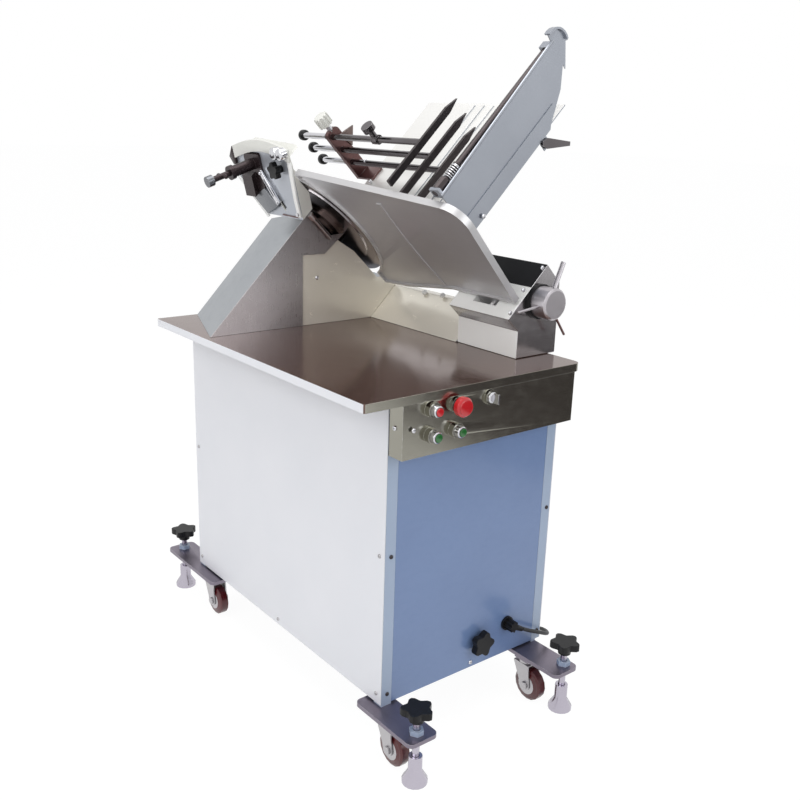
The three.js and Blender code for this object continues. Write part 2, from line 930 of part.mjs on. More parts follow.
function controlBox() {
  const shell = block(0, cabinetWidth, boxFront, boxBack, controlBoxBottom, postTop).subtract(
    block(
      boxWall,
      cabinetWidth - boxWall,
      boxFront + boxWall,
      boxBack + cutOver,
      controlBoxBottom + boxWall,
      postTop - boxWall,
    ),
  );
  const collars = buttons.map(({ x, row }) => collar(x, buttonZ(row), bezelDepth, bezelRadius));
  collars.push(collar(stopX, buttonZ(0), stopCollarDepth, bezelRadius));
  collars.push(collar(keyX, buttonZ(0), keyCollarDepth, bezelRadius));
  const holes = buttons.map(({ x, row }) => collarHole(x, buttonZ(row), buttonHoleRadius));
  holes.push(collarHole(stopX, buttonZ(0), buttonHoleRadius));
  holes.push(collarHole(keyX, buttonZ(0), buttonHoleRadius));
  return cutBy(joined(shell, ...collars), ...holes);
}
part("control_box", controlBox(), stainless);

// A button: a retaining disc behind the sheet, a neck in the collar and a rounded cap
function buttonBody(capRadius, capFrom, capTo) {
  const inside = boxWall + runGap;
  const edge = capRadius * capEdgeShare;
  return turned(
    [
      [0, -inside - bezelLip],
      [bezelRadius, -inside - bezelLip],
      [bezelRadius, -inside],
      [buttonNeckRadius, -inside],
      [buttonNeckRadius, capFrom],
      [capRadius, capFrom],
      [capRadius, capTo - edge],
      [capRadius - edge, capTo],
      [0, capTo],
    ],
    [0, -1, 0],
    [0, 0, 0],
  );
}

buttons.forEach(({ name, x, row, finish }) => {
  const frame = pivot(name, [x, boxFront, buttonZ(row)]);
  part(name, buttonBody(buttonCapRadius, bezelDepth, bezelDepth + buttonCapOut), finish, frame);
});
const stopFrame = pivot("emergency_stop", [stopX, boxFront, buttonZ(0)]);
part(
  "emergency_stop",
  buttonBody(mushroomRadius, mushroomStand, mushroomStand + mushroomHeight),
  redCap,
  stopFrame,
);

function keySwitch() {
  const barrel = buttonBody(keyRadius, keyCollarDepth, keyCollarDepth + keyDepth);
  const bowFrom = -keyCollarDepth - keyBowOut;
  const across = keyBowWidth / 2;
  const up = keyBowHeight / 2;
  const bow = block(-across, across, bowFrom, -keyCollarDepth, -up, up);
  return joined(barrel, bow);
}
part("key_switch", keySwitch(), brightSteel, pivot("key_switch", [keyX, boxFront, buttonZ(0)]));

// Casters: a fork on the plate's pin and a wheel between its cheeks, trailing to the front
const cheekInner = casterTreadWidth / 2 + casterForkGap;
const cheekOuter = cheekInner + casterForkWall;

function casterFork() {
  const crown = block(
    -cheekOuter,
    cheekOuter,
    -casterForkLength / 2,
    casterForkLength / 2,
    casterHeadBottom,
    casterHeadBottom + casterCrownThick,
  );
  const head = prismZ(circle(0, 0, casterHeadRadius, footSides), casterHeadBottom, casterHeadTop);
  const crownTop = casterHeadBottom + casterCrownThick;
  const eye = circle(-casterTrail, casterAxleZ, casterEyeRadius, footSides);
  const cheek = solidOf(
    extrusion(
      hull([
        ...eye,
        new THREE.Vector2(-casterForkLength / 2, crownTop),
        new THREE.Vector2(casterForkLength / 2, crownTop),
        new THREE.Vector2(casterForkLength / 2, casterHeadBottom),
      ]),
      casterForkWall,
    )
      .rotateX(Math.PI / 2)
      .rotateZ(Math.PI / 2)
      .translate(cheekInner, 0, 0),
  );
  const otherCheek = cheek.translate([-cheekInner - cheekOuter, 0, 0]);
  const bore = prismZ(
    circle(0, 0, casterPinRadius + runGap, smallSides),
    casterHeadBottom - cutOver,
    casterHeadTop + cutOver,
  );
  const axleHole = rodBetween(
    [-cheekOuter - cutOver, -casterTrail, casterAxleZ],
    [cheekOuter + cutOver, -casterTrail, casterAxleZ],
    casterAxleRadius + seatGap,
  );
  return cutBy(joined(crown, head, cheek, otherCheek), bore, axleHole);
}

function casterWheel() {
  const half = casterTreadWidth / 2;
  const nutFrom = cheekOuter + seatGap;
  const nutTo = nutFrom + casterNutDepth;
  const right = [
    [casterAxleRadius, nutFrom],
    [casterAxleRadius, half],
    [casterHubRadius, half],
    [casterHubRadius + casterTreadEdge, half - casterTreadEdge / 2],
    [casterWheelRadius - casterTreadEdge, half - casterTreadEdge / 2],
    [casterWheelRadius, half - casterTreadEdge],
  ];
  const mirrored = right.map(([radius, place]) => [radius, -place]);
  return turned(
    [
      [0, -nutTo],
      [casterNutRadius, -nutTo],
      [casterNutRadius, -nutFrom],
      ...mirrored,
      ...right.reverse(),
      [casterNutRadius, nutFrom],
      [casterNutRadius, nutTo],
      [0, nutTo],
    ],
    [1, 0, 0],
    [0, 0, 0],
    footSides,
  );
}

corners.forEach(({ side, end, casterX, casterY }) => {
  const name = `${end}_${side}_caster`;
  const forkFrame = pivot(`${name}_fork`, [casterX, casterY, 0]);
  part(`${name}_fork`, casterFork(), zincPlate, forkFrame);
  const wheelFrame = pivot(`${name}_wheel`, [0, -casterTrail, casterAxleZ], forkFrame);
  part(`${name}_wheel`, casterWheel(), redTread, wheelFrame);
});

// Levelling feet: a bell foot on the end of a screw that a star knob turns through the plate's nut
function footPad() {
  const bell = turned(
    [
      [0, 0],
      [footPadRadius, 0],
      [footPadRadius, footPadBase],
      [footPadNeckRadius, footPadNeckFrom],
      [footPadNeckRadius, footPadHeight],
      [0, footPadHeight],
    ],
    [0, 0, 1],
    [0, 0, 0],
    footSides,
  );
  const socket = prismZ(
    circle(0, 0, footScrewHole, smallSides),
    footPadHeight - footPadSocket,
    footPadHeight + cutOver,
  );
  return bell.subtract(socket);
}

function footScrew() {
  const foot = footPadHeight - footPadSocket + seatGap;
  const knobTop = footKnobBottom + footKnobHeight;
  const screw = prismZ(circle(0, 0, footScrewRadius, smallSides), foot, knobTop);
  const knob = prismZ(knobOutline(footKnobRadius, knobLobes), footKnobBottom + footKnobHeight / 2, knobTop);
  const hub = prismZ(circle(0, 0, footKnobRadius * knobHubShare, footSides), footKnobBottom, knobTop);
  return joined(screw, knob, hub);
}

corners.forEach(({ side, end, footX, footY }) => {
  const frame = pivot(`${end}_${side}_foot`, [footX, footY, 0]);
  part(`${end}_${side}_foot_pad`, footPad(), brightSteel, frame);
  part(`${end}_${side}_foot_screw`, footScrew(), blackPlastic, frame);
});

// The head base: the sloping drip surface below the blade, and the rear post of the slide shaft
const onHead = (y) => y - bladeCentreY;
const seatZ = worktopHeight + seatGap;
const shaftZ = worktopHeight + shaftRise;
const shaftU = (shaftX - bladeCentreX) * Math.cos(tilt) + (shaftZ - bladeCentreZ) * Math.sin(tilt);
const shaftW = (shaftZ - bladeCentreZ) * Math.cos(tilt) - (shaftX - bladeCentreX) * Math.sin(tilt);
const shaftRearY = cabinetDepth - shaftBlockInset;

function headBase() {
  const [crestX, crestZ] = headPoint(troughTopU, -troughDepth);
  const right = cabinetWidth + worktopRight;
  const slope = prismY(
    outline([
      [baseX(-troughDepth), seatZ],
      [crestX, crestZ, baseCornerRadius],
      [right, crestZ, baseCornerRadius],
      [right, seatZ],
    ]),
    housingRearY + seatGap,
    shaftRearY,
  );
  const post = prismY(
    outline([
      [shaftX - shaftPostLeft, seatZ],
      [shaftX - shaftPostLeft, shaftZ - shaftBlockHalf - shaftPostLeft * 2],
      [shaftX - shaftBlockHalf, shaftZ - shaftBlockHalf],
      [shaftX - shaftBlockHalf, shaftZ + shaftBlockHalf, shaftBlockHalf],
      [shaftX + shaftBlockHalf, shaftZ + shaftBlockHalf, shaftBlockHalf],
      [shaftX + shaftBlockHalf, crestZ],
      [right, seatZ],
    ]),
    shaftRearY - shaftBlockThick,
    shaftRearY,
  );
  const bore = rodBetween(
    [shaftX, shaftRearY - shaftBlockThick - cutOver, shaftZ],
    [shaftX, shaftRearY + cutOver, shaftZ],
    shaftRadius + seatGap,
    roundSides,
  );
  return slope.add(post).subtract(bore);
}
part("head_base", headBase(), castAluminium);

// Gauge housing: carries the gauge plate's bar, the thickness dial and the front of the slide shaft
const gaugeBack = -gaugeClear - gaugeThick;
const gaugeBarW = -housingDepth - gaugeBarDrop;
const dialZ = worktopHeight + dialRise;

function gaugeHousing() {
  const solid = prismY(
    outline([
      [housingFootX, seatZ],
      [housingFootX, worktopHeight + housingStepRise],
      headPoint(-housingLeft, -housingDepth),
      headPoint(housingRight, -housingDepth),
      headPoint(housingRight, -housingDepth - housingDrop),
      [housingBackX, headZ(housingRight, -housingDepth - housingDrop) - housingDropX],
      [housingBackX, seatZ],
    ]),
    housingFrontY,
    housingRearY,
  );
  const slotFrom = onHead(gaugeTongueY - gaugeTongueWidth / 2 - gaugeSlotGap);
  const slotTo = onHead(gaugeTongueY + gaugeTongueWidth / 2 + gaugeSlotGap);
  const slot = block(
    gaugeBack - gaugeTravel - gaugeSlotGap,
    gaugeSlotGap,
    slotFrom,
    slotTo,
    -housingDepth - gaugeTongueDepth - gaugeSlotGap,
    -housingDepth + gaugeTongueDepth,
  );
  const bar = rodBetween(
    [gaugeBack - gaugeTravel - gaugeBarSeat, onHead(gaugeTongueY), gaugeBarW],
    [gaugeBarSeat, onHead(gaugeTongueY), gaugeBarW],
    gaugeBarRadius,
  );
  const dialBore = rodBetween(
    [dialX, housingFrontY - cutOver, dialZ],
    [dialX, housingFrontY + dialShaftLength + seatGap, dialZ],
    dialShaftRadius + seatGap,
    roundSides,
  );
  const shaftBore = rodBetween(
    [shaftX, housingRearY - shaftSeatLength - seatGap, shaftZ],
    [shaftX, housingRearY + cutOver, shaftZ],
    shaftRadius + seatGap,
    roundSides,
  );
  return cutBy(solid, fromHead(slot), dialBore, shaftBore).add(fromHead(bar));
}

// A solid made in the head's directions, placed in the cabinet's
function fromHead(solid) {
  const turn = THREE.MathUtils.radToDeg(tilt);
  return solid.rotate([0, -turn, 0]).translate([bladeCentreX, bladeCentreY, bladeCentreZ]);
}
part("gauge_housing", gaugeHousing(), castAluminium);

// Thickness dial: a knob with a dark ring and three spokes on a shaft into the housing
function thicknessDial() {
  const knob = turned(
    [
      [0, -dialShaftLength],
      [dialShaftRadius, -dialShaftLength],
      [dialShaftRadius, runGap],
      [dialRingRadius, runGap],
      [dialRingRadius, dialRingDepth],
      [dialRadius, dialRingDepth],
      [dialRadius, dialLength - dialEdge],
      [dialRadius - dialEdge, dialLength],
      [0, dialLength],
    ],
    [0, -1, 0],
    [0, 0, 0],
  );
  const spokes = [];
  for (let i = 0; i < dialSpokeCount; i++) {
    const angle = THREE.MathUtils.degToRad(dialStartDegrees + (i * 360) / dialSpokeCount);
    const reach = dialRadius + dialSpokeLength;
    const middle = -(dialRingDepth + dialLength) / 2;
    const tip = [reach * Math.cos(angle), middle, reach * Math.sin(angle)];
    const radius = i === 0 ? dialSpokeRadius : dialThinSpokeRadius;
    spokes.push(rodBetween([0, middle, 0], tip, radius));
  }
  return joined(knob, ...spokes);
}
const dialFrame = pivot("thickness_dial", [dialX, housingFrontY, dialZ]);
part("thickness_dial", thicknessDial(), stainless, dialFrame);

// Tower: a leaning sheet casing behind the blade's discharge side, open underneath
const towerBladeSide = [
  headPoint(-towerTopU, towerEdgeW),
  headPoint(-towerSlopeU, -towerSlopeW),
  headPoint(-towerBladeU, -bladeRadius - towerBladeGap),
  headPoint(troughTopU, -bladeRadius - towerBladeGap - towerHeelW),
  headPoint(troughTopU, -troughDepth + seatGap),
  [baseX(-troughDepth + seatGap), seatZ],
];
const towerFrontOutline = [
  [towerFootX, seatZ],
  headPoint(-towerShoulderU, towerTopW),
  headPoint(-towerTopU, towerTopW),
  ...towerBladeSide,
];
const towerRearOutline = [
  [towerFootX + towerRearFoot, seatZ],
  headPoint(-towerTopU - towerRearRidge, towerRearTopW),
  headPoint(-towerTopU, towerRearTopW),
  ...towerBladeSide,
];

function towerCasing() {
  const near = towerFrontOutline.map(([x, z]) => new THREE.Vector2(x, z)).reverse();
  const far = towerRearOutline.map(([x, z]) => new THREE.Vector2(x, z)).reverse();
  const rearY = cabinetDepth;
  const outer = loftY(near, towerFrontY, far, rearY);
  const hollow = loftY(
    inset(near, sheetWall),
    towerFrontY + sheetWall,
    inset(far, sheetWall),
    rearY - sheetWall,
  );
  const opening = block(
    towerFootX + towerRearFoot + towerOpeningInset,
    baseX(-troughDepth) - towerOpeningInset,
    towerFrontY + towerOpeningInset,
    rearY - towerOpeningInset,
    worktopHeight - cutOver,
    seatZ + towerOpeningHeight,
  );
  const bearing = rodBetween(
    [-towerTopU - bearingLength, 0, 0],
    [-towerTopU - sheetWall / 2, 0, 0],
    bearingRadius,
    roundSides,
  );
  const bore = rodBetween(
    [-towerTopU - bearingLength - cutOver, 0, 0],
    [-bladeThick, 0, 0],
    spindleRadius + runGap,
    roundSides,
  );
  return cutBy(joined(cutBy(outer, hollow, opening), fromHead(bearing)), fromHead(bore));
}
part("tower_casing", towerCasing(), stainless);

// Tower cover: a flat sheet over the left and upper part of the tower's front, with a latch bolt
function towerCover() {
  const coverBack = towerFrontY - seatGap;
  const sheet = prismY(
    outline([
      [towerFootX, seatZ],
      [coverNotchX, seatZ],
      [coverNotchX, worktopHeight + coverNotchRise],
      [coverNotchX + coverNotchRun, worktopHeight + coverNotchRise],
      headPoint(-towerTopU + coverTail, -coverTail),
      headPoint(-towerTopU, towerEdgeW),
      headPoint(-towerTopU, towerTopW),
      headPoint(-towerShoulderU, towerTopW),
    ]),
    coverBack - coverThick,
    coverBack,
  );
  const boltY = onHead(coverBack - coverThick / 2 - boltHeadRadius);
  const bolt = rodBetween(
    [-towerTopU - boltInset, boltY, towerTopW - boltHead],
    [-towerTopU - boltInset, boltY, towerEdgeW],
    boltRadius,
  );
  const boltHeadPiece = rodBetween(
    [-towerTopU - boltInset, boltY, towerTopW - boltHead],
    [-towerTopU - boltInset, boltY, towerTopW],
    boltHeadRadius,
  );
  return joined(sheet, fromHead(bolt), fromHead(boltHeadPiece));
}
part("tower_cover", towerCover(), whitePaint);

// Blade: a stepped hub, a ring line and a ground bevel on its back, and a plain front
function blade() {
  return turned(
    [
      [0, -bladeThick - bladeNoseDepth],
      [bladeNoseRadius, -bladeThick - bladeNoseDepth],
      [bladeNoseRadius, -bladeThick - bladeBossDepth],
      [bladeBossRadius, -bladeThick - bladeBossDepth],
      [bladeBossRadius, -bladeThick - bladeHubDepth],
      [bladeHubRadius, -bladeThick - bladeHubDepth],
      [bladeHubRadius, -bladeThick],
      [bladeRingRadius, -bladeThick],
      [bladeRingRadius, -bladeThick + bladeStep],
      [bladeBevelRadius, -bladeThick + bladeStep],
      [bladeRadius, -bladeEdge],
      [bladeRadius, 0],
      [0, 0],
    ],
    [1, 0, 0],
    [0, 0, 0],
    bladeSides,
  );
}
const bladeFrame = pivot("blade_spin", [0, 0, 0], head);
part("blade", blade(), brightSteel, bladeFrame);

// Spindle with the driven pulley, the motor with the driving pulley, and the belt between them
const spindleFrom = -bladeThick - bladeNoseDepth - seatGap;
const pulleyFrom = -towerTopU - bearingLength - runGap;
const pulleyTo = pulleyFrom - pulleyWidth;
const beltMiddle = (pulleyFrom + pulleyTo) / 2;

function pulleyProfile(radius) {
  return [
    [radius + pulleyRim, pulleyFrom],
    [radius + pulleyRim, pulleyFrom - pulleyRim],
    [radius, pulleyFrom - pulleyRim],
    [radius, pulleyTo + pulleyRim],
    [radius + pulleyRim, pulleyTo + pulleyRim],
    [radius + pulleyRim, pulleyTo],
  ];
}

function bladeSpindle() {
  const profile = [
    [0, spindleFrom],
    [spindleRadius, spindleFrom],
    [spindleRadius, pulleyFrom],
    ...pulleyProfile(pulleyRadius),
    [0, pulleyTo],
  ];
  return turned(profile.reverse(), [1, 0, 0], [0, 0, 0]);
}
part("blade_spindle", bladeSpindle(), darkSteel, bladeFrame);

const motorFace = pulleyTo - motorStand;

function bladeMotor() {
  const profile = [
    [0, pulleyFrom],
    ...pulleyProfile(motorPulleyRadius),
    [motorShaftRadius, pulleyTo],
    [motorShaftRadius, motorFace],
    [motorRadius, motorFace],
    [motorRadius, motorFace - motorLength],
    [0, motorFace - motorLength],
  ];
  return turned(profile.reverse(), [1, 0, 0], [0, 0, 0]);
}

function motorFlange() {
  const plate = block(
    motorFace + seatGap,
    motorFace + seatGap + motorFlangeThick,
    -motorFlangeHalf,
    motorFlangeHalf,
    -motorFlangeHalf,
    motorFlangeTop,
  );
  const bore = rodBetween(
    [motorFace - cutOver, 0, 0],
    [motorFace + motorFlangeThick + cutOver, 0, 0],
    motorShaftRadius + seatGap,
    roundSides,
  );
  return plate.subtract(bore);
}
const motorFrame = new THREE.Group();
motorFrame.position.set(0, motorAcross, -motorDown);
head.add(motorFrame);
part("blade_motor", bladeMotor(), darkSteel, motorFrame);
part("motor_bracket", motorFlange(), zincPlate, motorFrame);

function driveBelt() {
  const cornerReach = 1 / Math.cos(Math.PI / roundSides);
  const large = pulleyRadius * cornerReach + seatGap;
  const small = motorPulleyRadius * cornerReach + seatGap;
  const beltFrom = beltMiddle - beltWidth / 2;
  const outer = hull([
    ...circle(0, 0, large + beltThick),
    ...circle(motorAcross, -motorDown, small + beltThick),
  ]);
  const inner = hull([...circle(0, 0, large), ...circle(motorAcross, -motorDown, small)]);
  const band = prismX(outer, beltFrom, beltFrom + beltWidth);
  return band.subtract(prismX(inner, beltFrom - cutOver, beltFrom + beltWidth + cutOver));
}
part("drive_belt", driveBelt(), rubber, head);

// Gauge plate: a rimmed plate cut out round the blade, with a tongue on the housing's bar
const gaugeOutline = outline([
  [onHead(gaugeFootY), -gaugeLowerW],
  [onHead(gaugeRightY), gaugeRightTopW, gaugeCornerRadius],
  [onHead(gaugeLeftY), gaugeLeftTopW],
  [onHead(gaugeLeftY), -gaugeLeftLowW],
  [onHead(gaugeStepY + gaugeStepRun), -gaugeLeftLowW + gaugeStepRise],
  [onHead(gaugeStepY), -gaugeLowerW, gaugeStepRadius],
]);
const bladeCutRadius = bladeRadius + gaugeBladeGap;

function bladeDisc(radius, from, to) {
  return prismX(circle(0, 0, radius, bladeSides), from, to);
}

function gaugeRib() {
  const outer = [];
  const inner = [];
  for (let step = 0; step <= gaugeRibSteps; step++) {
    const share = step / gaugeRibSteps;
    const w = gaugeRibTopW - share * (gaugeRibTopW + gaugeLowerW - gaugeRimWidth);
    const bow = gaugeRibBow * Math.sin(share * Math.PI);
    const half = (gaugeRibWidth / 2) * (1 + share);
    outer.push(new THREE.Vector2(onHead(gaugeRibY) + bow + half, w));
    inner.unshift(new THREE.Vector2(onHead(gaugeRibY) + bow - half, w));
  }
  const points = [...outer, ...inner];
  if (THREE.ShapeUtils.isClockWise(points)) points.reverse();
  return prismX(points, gaugeBack - gaugeRibHeight, -gaugeClear - gaugeThick / 2);
}

function gaugePlate() {
  const plate = prismX(gaugeOutline, gaugeBack, -gaugeClear);
  const rimBack = gaugeBack - gaugeRimDepth;
  const rimOuter = prismX(gaugeOutline, rimBack, gaugeBack + gaugeThick / 2);
  const rimInner = prismX(inset(gaugeOutline, gaugeRimWidth), rimBack - cutOver, gaugeBack).subtract(
    bladeDisc(bladeCutRadius + gaugeRimWidth, rimBack - cutOver, gaugeBack + cutOver),
  );
  const tongue = block(
    gaugeBack,
    -gaugeClear,
    onHead(gaugeTongueY - gaugeTongueWidth / 2),
    onHead(gaugeTongueY + gaugeTongueWidth / 2),
    -housingDepth - gaugeTongueDepth,
    -gaugeLowerW + gaugeRimWidth,
  );
  const bore = rodBetween(
    [gaugeBack - cutOver, onHead(gaugeTongueY), gaugeBarW],
    [cutOver, onHead(gaugeTongueY), gaugeBarW],
    gaugeBarRadius + runGap,
    roundSides,
  );
  const rimmed = joined(plate, rimOuter.subtract(rimInner), gaugeRib(), tongue);
  return cutBy(rimmed, bladeDisc(bladeCutRadius, rimBack - cutOver, cutOver), bore);
}
part("gauge_plate", gaugePlate(), stainless, head);

// Slide shaft and the carriage arm that rides on it
part(
  "slide_shaft",
  rodBetween(
    [shaftX, housingRearY - shaftSeatLength, shaftZ],
    [shaftX, shaftRearY, shaftZ],
    shaftRadius,
    roundSides,
  ),
  brightSteel,
);

const carriage = new THREE.Group();
head.add(carriage);
const armFrom = onHead(armFromY);
const armTo = armFrom + armLength;
const floorBottom = chuteFloorW - chuteThick;

function carriageArm() {
  const boss = rodBetween([shaftU, armFrom, shaftW], [shaftU, armTo, shaftW], armBossRadius, roundSides);
  const padW = floorBottom - seatGap;
  const postLeft = shaftU - armPostThick / 2;
  const postRight = shaftU + armPostThick / 2;
  const web = prismY(
    outline([
      [postLeft, shaftW],
      [postRight, shaftW],
      [postRight, shaftW + armGussetStart],
      [shaftU + armPadLength, padW - armPadThick],
      [shaftU + armPadLength, padW],
      [postLeft, padW],
    ]),
    armFrom,
    armTo,
  );
  const bore = rodBetween(
    [shaftU, armFrom - cutOver, shaftW],
    [shaftU, armTo + cutOver, shaftW],
    shaftRadius + seatGap,
    roundSides,
  );
  return boss.add(web).subtract(bore);
}
part("carriage_arm", carriageArm(), castAluminium, carriage);

// Chute floor: a sloping sheet with raised ribs, and a folded edge on its far side
const chuteRight = onHead(chuteRightY);
const chuteLeft = onHead(chuteLeftY);

function chuteFloor() {
  const end = chuteStartU + chuteLength;
  const sheet = block(chuteStartU, end, chuteRight + seatGap, chuteLeft, floorBottom, chuteFloorW);
  const hem = block(chuteStartU, end, chuteLeft - chuteThick, chuteLeft, floorBottom - chuteHem, chuteFloorW);
  const ribs = [];
  for (let i = 0; i < ribCount; i++) {
    const from = chuteRight + ribPitch * (i + 1) - ribWidth;
    const face = floorBottom + chuteThick / 2;
    const top = chuteFloorW + ribHeight;
    ribs.push(block(chuteStartU + ribInset, end - ribInset, from, from + ribWidth, face, top));
  }
  return joined(sheet, hem, ...ribs);
}
part("chute_floor", chuteFloor(), stainless, carriage);

// Chute side wall: a sheet with a doubled lower edge, a rail along its top, rod blocks and an end cap
const wallTo = chuteRight - seatGap;
const wallFrom = wallTo - wallThick;
const wallEnd = wallStartU + wallLength;
const guideRodV = chuteRight + guideRodOut;
const guideRodW = wallTopLow + guideRodRise;
const latchW = chuteFloorW - latchDrop;
const sleeveStart = wallStartU + lowerBlockLength + runGap;

function sideWall() {
  const wallFoot = floorBottom - wallFootDrop;
  const outerCorner = [wallEnd, wallFoot + wallChamferRise * 2];
  const sheet = prismY(
    outline([
      [wallStartU, wallFoot],
      [wallChamferStart, wallFoot],
      [wallChamferMid, wallFoot + wallChamferRise],
      outerCorner,
      [wallEnd, wallTopHigh],
      [wallStartU, wallTopLow],
    ]),
    wallFrom,
    wallTo,
  );
  const doubler = prismY(
    outline([
      [wallStartU, wallFoot],
      [wallChamferStart, wallFoot],
      [wallChamferMid - wallFoldRise, wallFoot + wallFoldRise],
      [wallStartU, wallFoot + wallFoldRise],
    ]),
    wallFrom - wallThick,
    wallTo - wallThick / 2,
  );
  const wallMiddle = (wallFrom + wallTo) / 2;
  const rail = rodBetween(
    [wallStartU, wallMiddle, wallTopLow],
    [wallEnd, wallMiddle, wallTopHigh],
    railRadius,
  );
  const blockSpans = [
    [wallStartU, wallStartU + lowerBlockLength],
    [wallEnd - upperBlockLength, wallEnd],
  ];
  const blocks = blockSpans.map(([from, to]) =>
    block(
      from,
      to,
      wallFrom,
      guideRodV + rodBlockHalf,
      guideRodW - rodBlockHalf,
      guideRodW + rodBlockHalf,
    ),
  );
  const bore = rodBetween(
    [wallStartU - cutOver, guideRodV, guideRodW],
    [wallEnd + cutOver, guideRodV, guideRodW],
    guideRodRadius + seatGap,
    roundSides,
  );
  const tab = block(
    latchU - latchWidth / 2,
    latchU + latchWidth / 2,
    wallFrom,
    wallTo,
    latchW - latchWidth / 2,
    wallFoot + cutOver,
  );
  const latchBore = rodBetween(
    [latchU, wallFrom - wallThick - cutOver, latchW],
    [latchU, wallTo + cutOver, latchW],
    latchPinRadius + seatGap,
  );
  return cutBy(joined(sheet, doubler, rail, ...blocks, tab, endCap(wallMiddle)), bore, latchBore);
}

// The end cap: a curved strap round the upper end of the wall, with a small round knob
function endCap(wallMiddle) {
  const centre = new THREE.Vector2(wallEnd + capOut, wallTopHigh - capDrop);
  const arc = (radius) => {
    const points = [];
    for (let step = 0; step <= capSteps; step++) {
      const angle = THREE.MathUtils.degToRad(capFromDegrees + (capSweepDegrees * step) / capSteps);
      const out = new THREE.Vector2(Math.cos(angle), Math.sin(angle));
      points.push(out.multiplyScalar(radius).add(centre));
    }
    return points;
  };
  const strap = [...arc(capRadius), ...arc(capRadius - capThick).reverse()];
  const cap = prismY(strap, wallMiddle - capDepth / 2, wallMiddle + capDepth / 2);
  const webFoot = [
    new THREE.Vector2(wallEnd - capWebInset, wallTopHigh - capWebInset),
    new THREE.Vector2(wallEnd - capWebInset, wallTopHigh - capWebDrop),
  ];
  const web = prismY([...arc(capRadius - capThick / 2), ...webFoot], wallFrom, wallTo);
  const [knobAt] = arc(capRadius);
  const knob = ball([knobAt.x, wallMiddle, knobAt.y], capKnobRadius);
  return joined(cap, web, knob);
}
part("chute_side_wall", sideWall(), stainless, carriage);

// Guide rod inside the wall, with a sleeve at its lower end and a short spring against a collar
function guideRod() {
  const from = wallStartU + seatGap;
  const to = wallEnd - seatGap;
  const rod = rodBetween([from, guideRodV, guideRodW], [to, guideRodV, guideRodW], guideRodRadius);
  const sleeve = rodBetween(
    [sleeveStart, guideRodV, guideRodW],
    [sleeveStart + sleeveLength, guideRodV, guideRodW],
    sleeveRadius,
  );
  const stopFrom = springEndU + seatGap;
  const stop = rodBetween(
    [stopFrom, guideRodV, guideRodW],
    [stopFrom + springStopLength, guideRodV, guideRodW],
    springStopRadius,
  );
  return joined(rod, sleeve, stop);
}
part("guide_rod", guideRod(), darkSteel, carriage);

// A tube of round sections swept along points, closed at both ends
function sweptTube(points, radius, ringSides) {
  const corners = [];
  const faces = [];
  const frame = { normal: new THREE.Vector3(0, 0, 1) };
  points.forEach((point, i) => {
    const ahead = points[Math.min(i + 1, points.length - 1)];
    const behind = points[Math.max(i - 1, 0)];
    const tangent = ahead.clone().sub(behind).normalize();
    const side = tangent.clone().cross(frame.normal).normalize();
    frame.normal = side.clone().cross(tangent).normalize();
    for (let k = 0; k < ringSides; k++) {
      const angle = (k / ringSides) * 2 * Math.PI;
      const corner = point.clone();
      corner.addScaledVector(side, radius * Math.cos(angle));
      corner.addScaledVector(frame.normal, radius * Math.sin(angle));
      corners.push(...corner.toArray());
    }
  });
  const last = points.length - 1;
  for (let i = 0; i < last; i++) {
    for (let k = 0; k < ringSides; k++) {
      const a = i * ringSides + k;
      const b = i * ringSides + ((k + 1) % ringSides);
      faces.push(a, b, a + ringSides, b, b + ringSides, a + ringSides);
    }
  }
  for (let k = 1; k < ringSides - 1; k++) {
    faces.push(0, k + 1, k);
    faces.push(last * ringSides, last * ringSides + k, last * ringSides + k + 1);
  }
  const geometry = new THREE.BufferGeometry();
  geometry.setAttribute("position", new THREE.BufferAttribute(new Float32Array(corners), 3));
  geometry.setIndex(faces);
  return solidOf(geometry);
}

function guideSpring() {
  const from = sleeveStart + sleeveLength + springWire + seatGap;
  const to = springEndU - springWire - seatGap;
  const points = [];
  const count = springCurls * springSteps;
  for (let i = 0; i <= count; i++) {
    const angle = (i / springSteps) * 2 * Math.PI;
    const u = from + ((to - from) * i) / count;
    const v = guideRodV + springRadius * Math.cos(angle);
    points.push(new THREE.Vector3(u, v, guideRodW + springRadius * Math.sin(angle)));
  }
  return sweptTube(points, springWire, springSides);
}
part("guide_spring", guideSpring(), brightSteel, carriage);

// Latch lever: a lever with one long wing, on a bolt through the wall's tab
function latchLever() {
  const tip = latchLength - latchTail;
  const wing = outline([
    [-latchTail, -latchThick],
    [0, -latchWidth / 2, latchThick],
    [tip, -latchThick],
    [tip, latchThick],
    [0, latchWidth / 2, latchThick],
    [-latchTail, latchThick],
  ]);
  const wallFace = -wallThick - seatGap;
  const lever = prismY(wing, wallFace - latchThick, wallFace).rotate([0, bladeTiltDegrees, 0]);
  const nutTo = wallThick + seatGap + latchThick;
  const bolt = rodBetween([0, wallFace - latchThick, 0], [0, nutTo, 0], latchPinRadius);
  const nut = rodBetween([0, wallThick + seatGap, 0], [0, nutTo, 0], latchPinRadius + latchThick);
  return joined(lever, bolt, nut);
}
const latchFrame = pivot("latch_lever", [latchU, wallFrom, latchW], carriage);
part("latch_lever", latchLever(), darkSteel, latchFrame);

// Divider bracket: a post beside the chute floor, on a foot, that carries the three divider rods
const bracketV = onHead(bracketY);
const bracketNear = bracketV - bracketThick / 2;
const bracketFar = bracketV + bracketThick / 2;
const rodHeights = [rodTopW, rodTopW - rodPitch, rodTopW - rodPitch * 2];

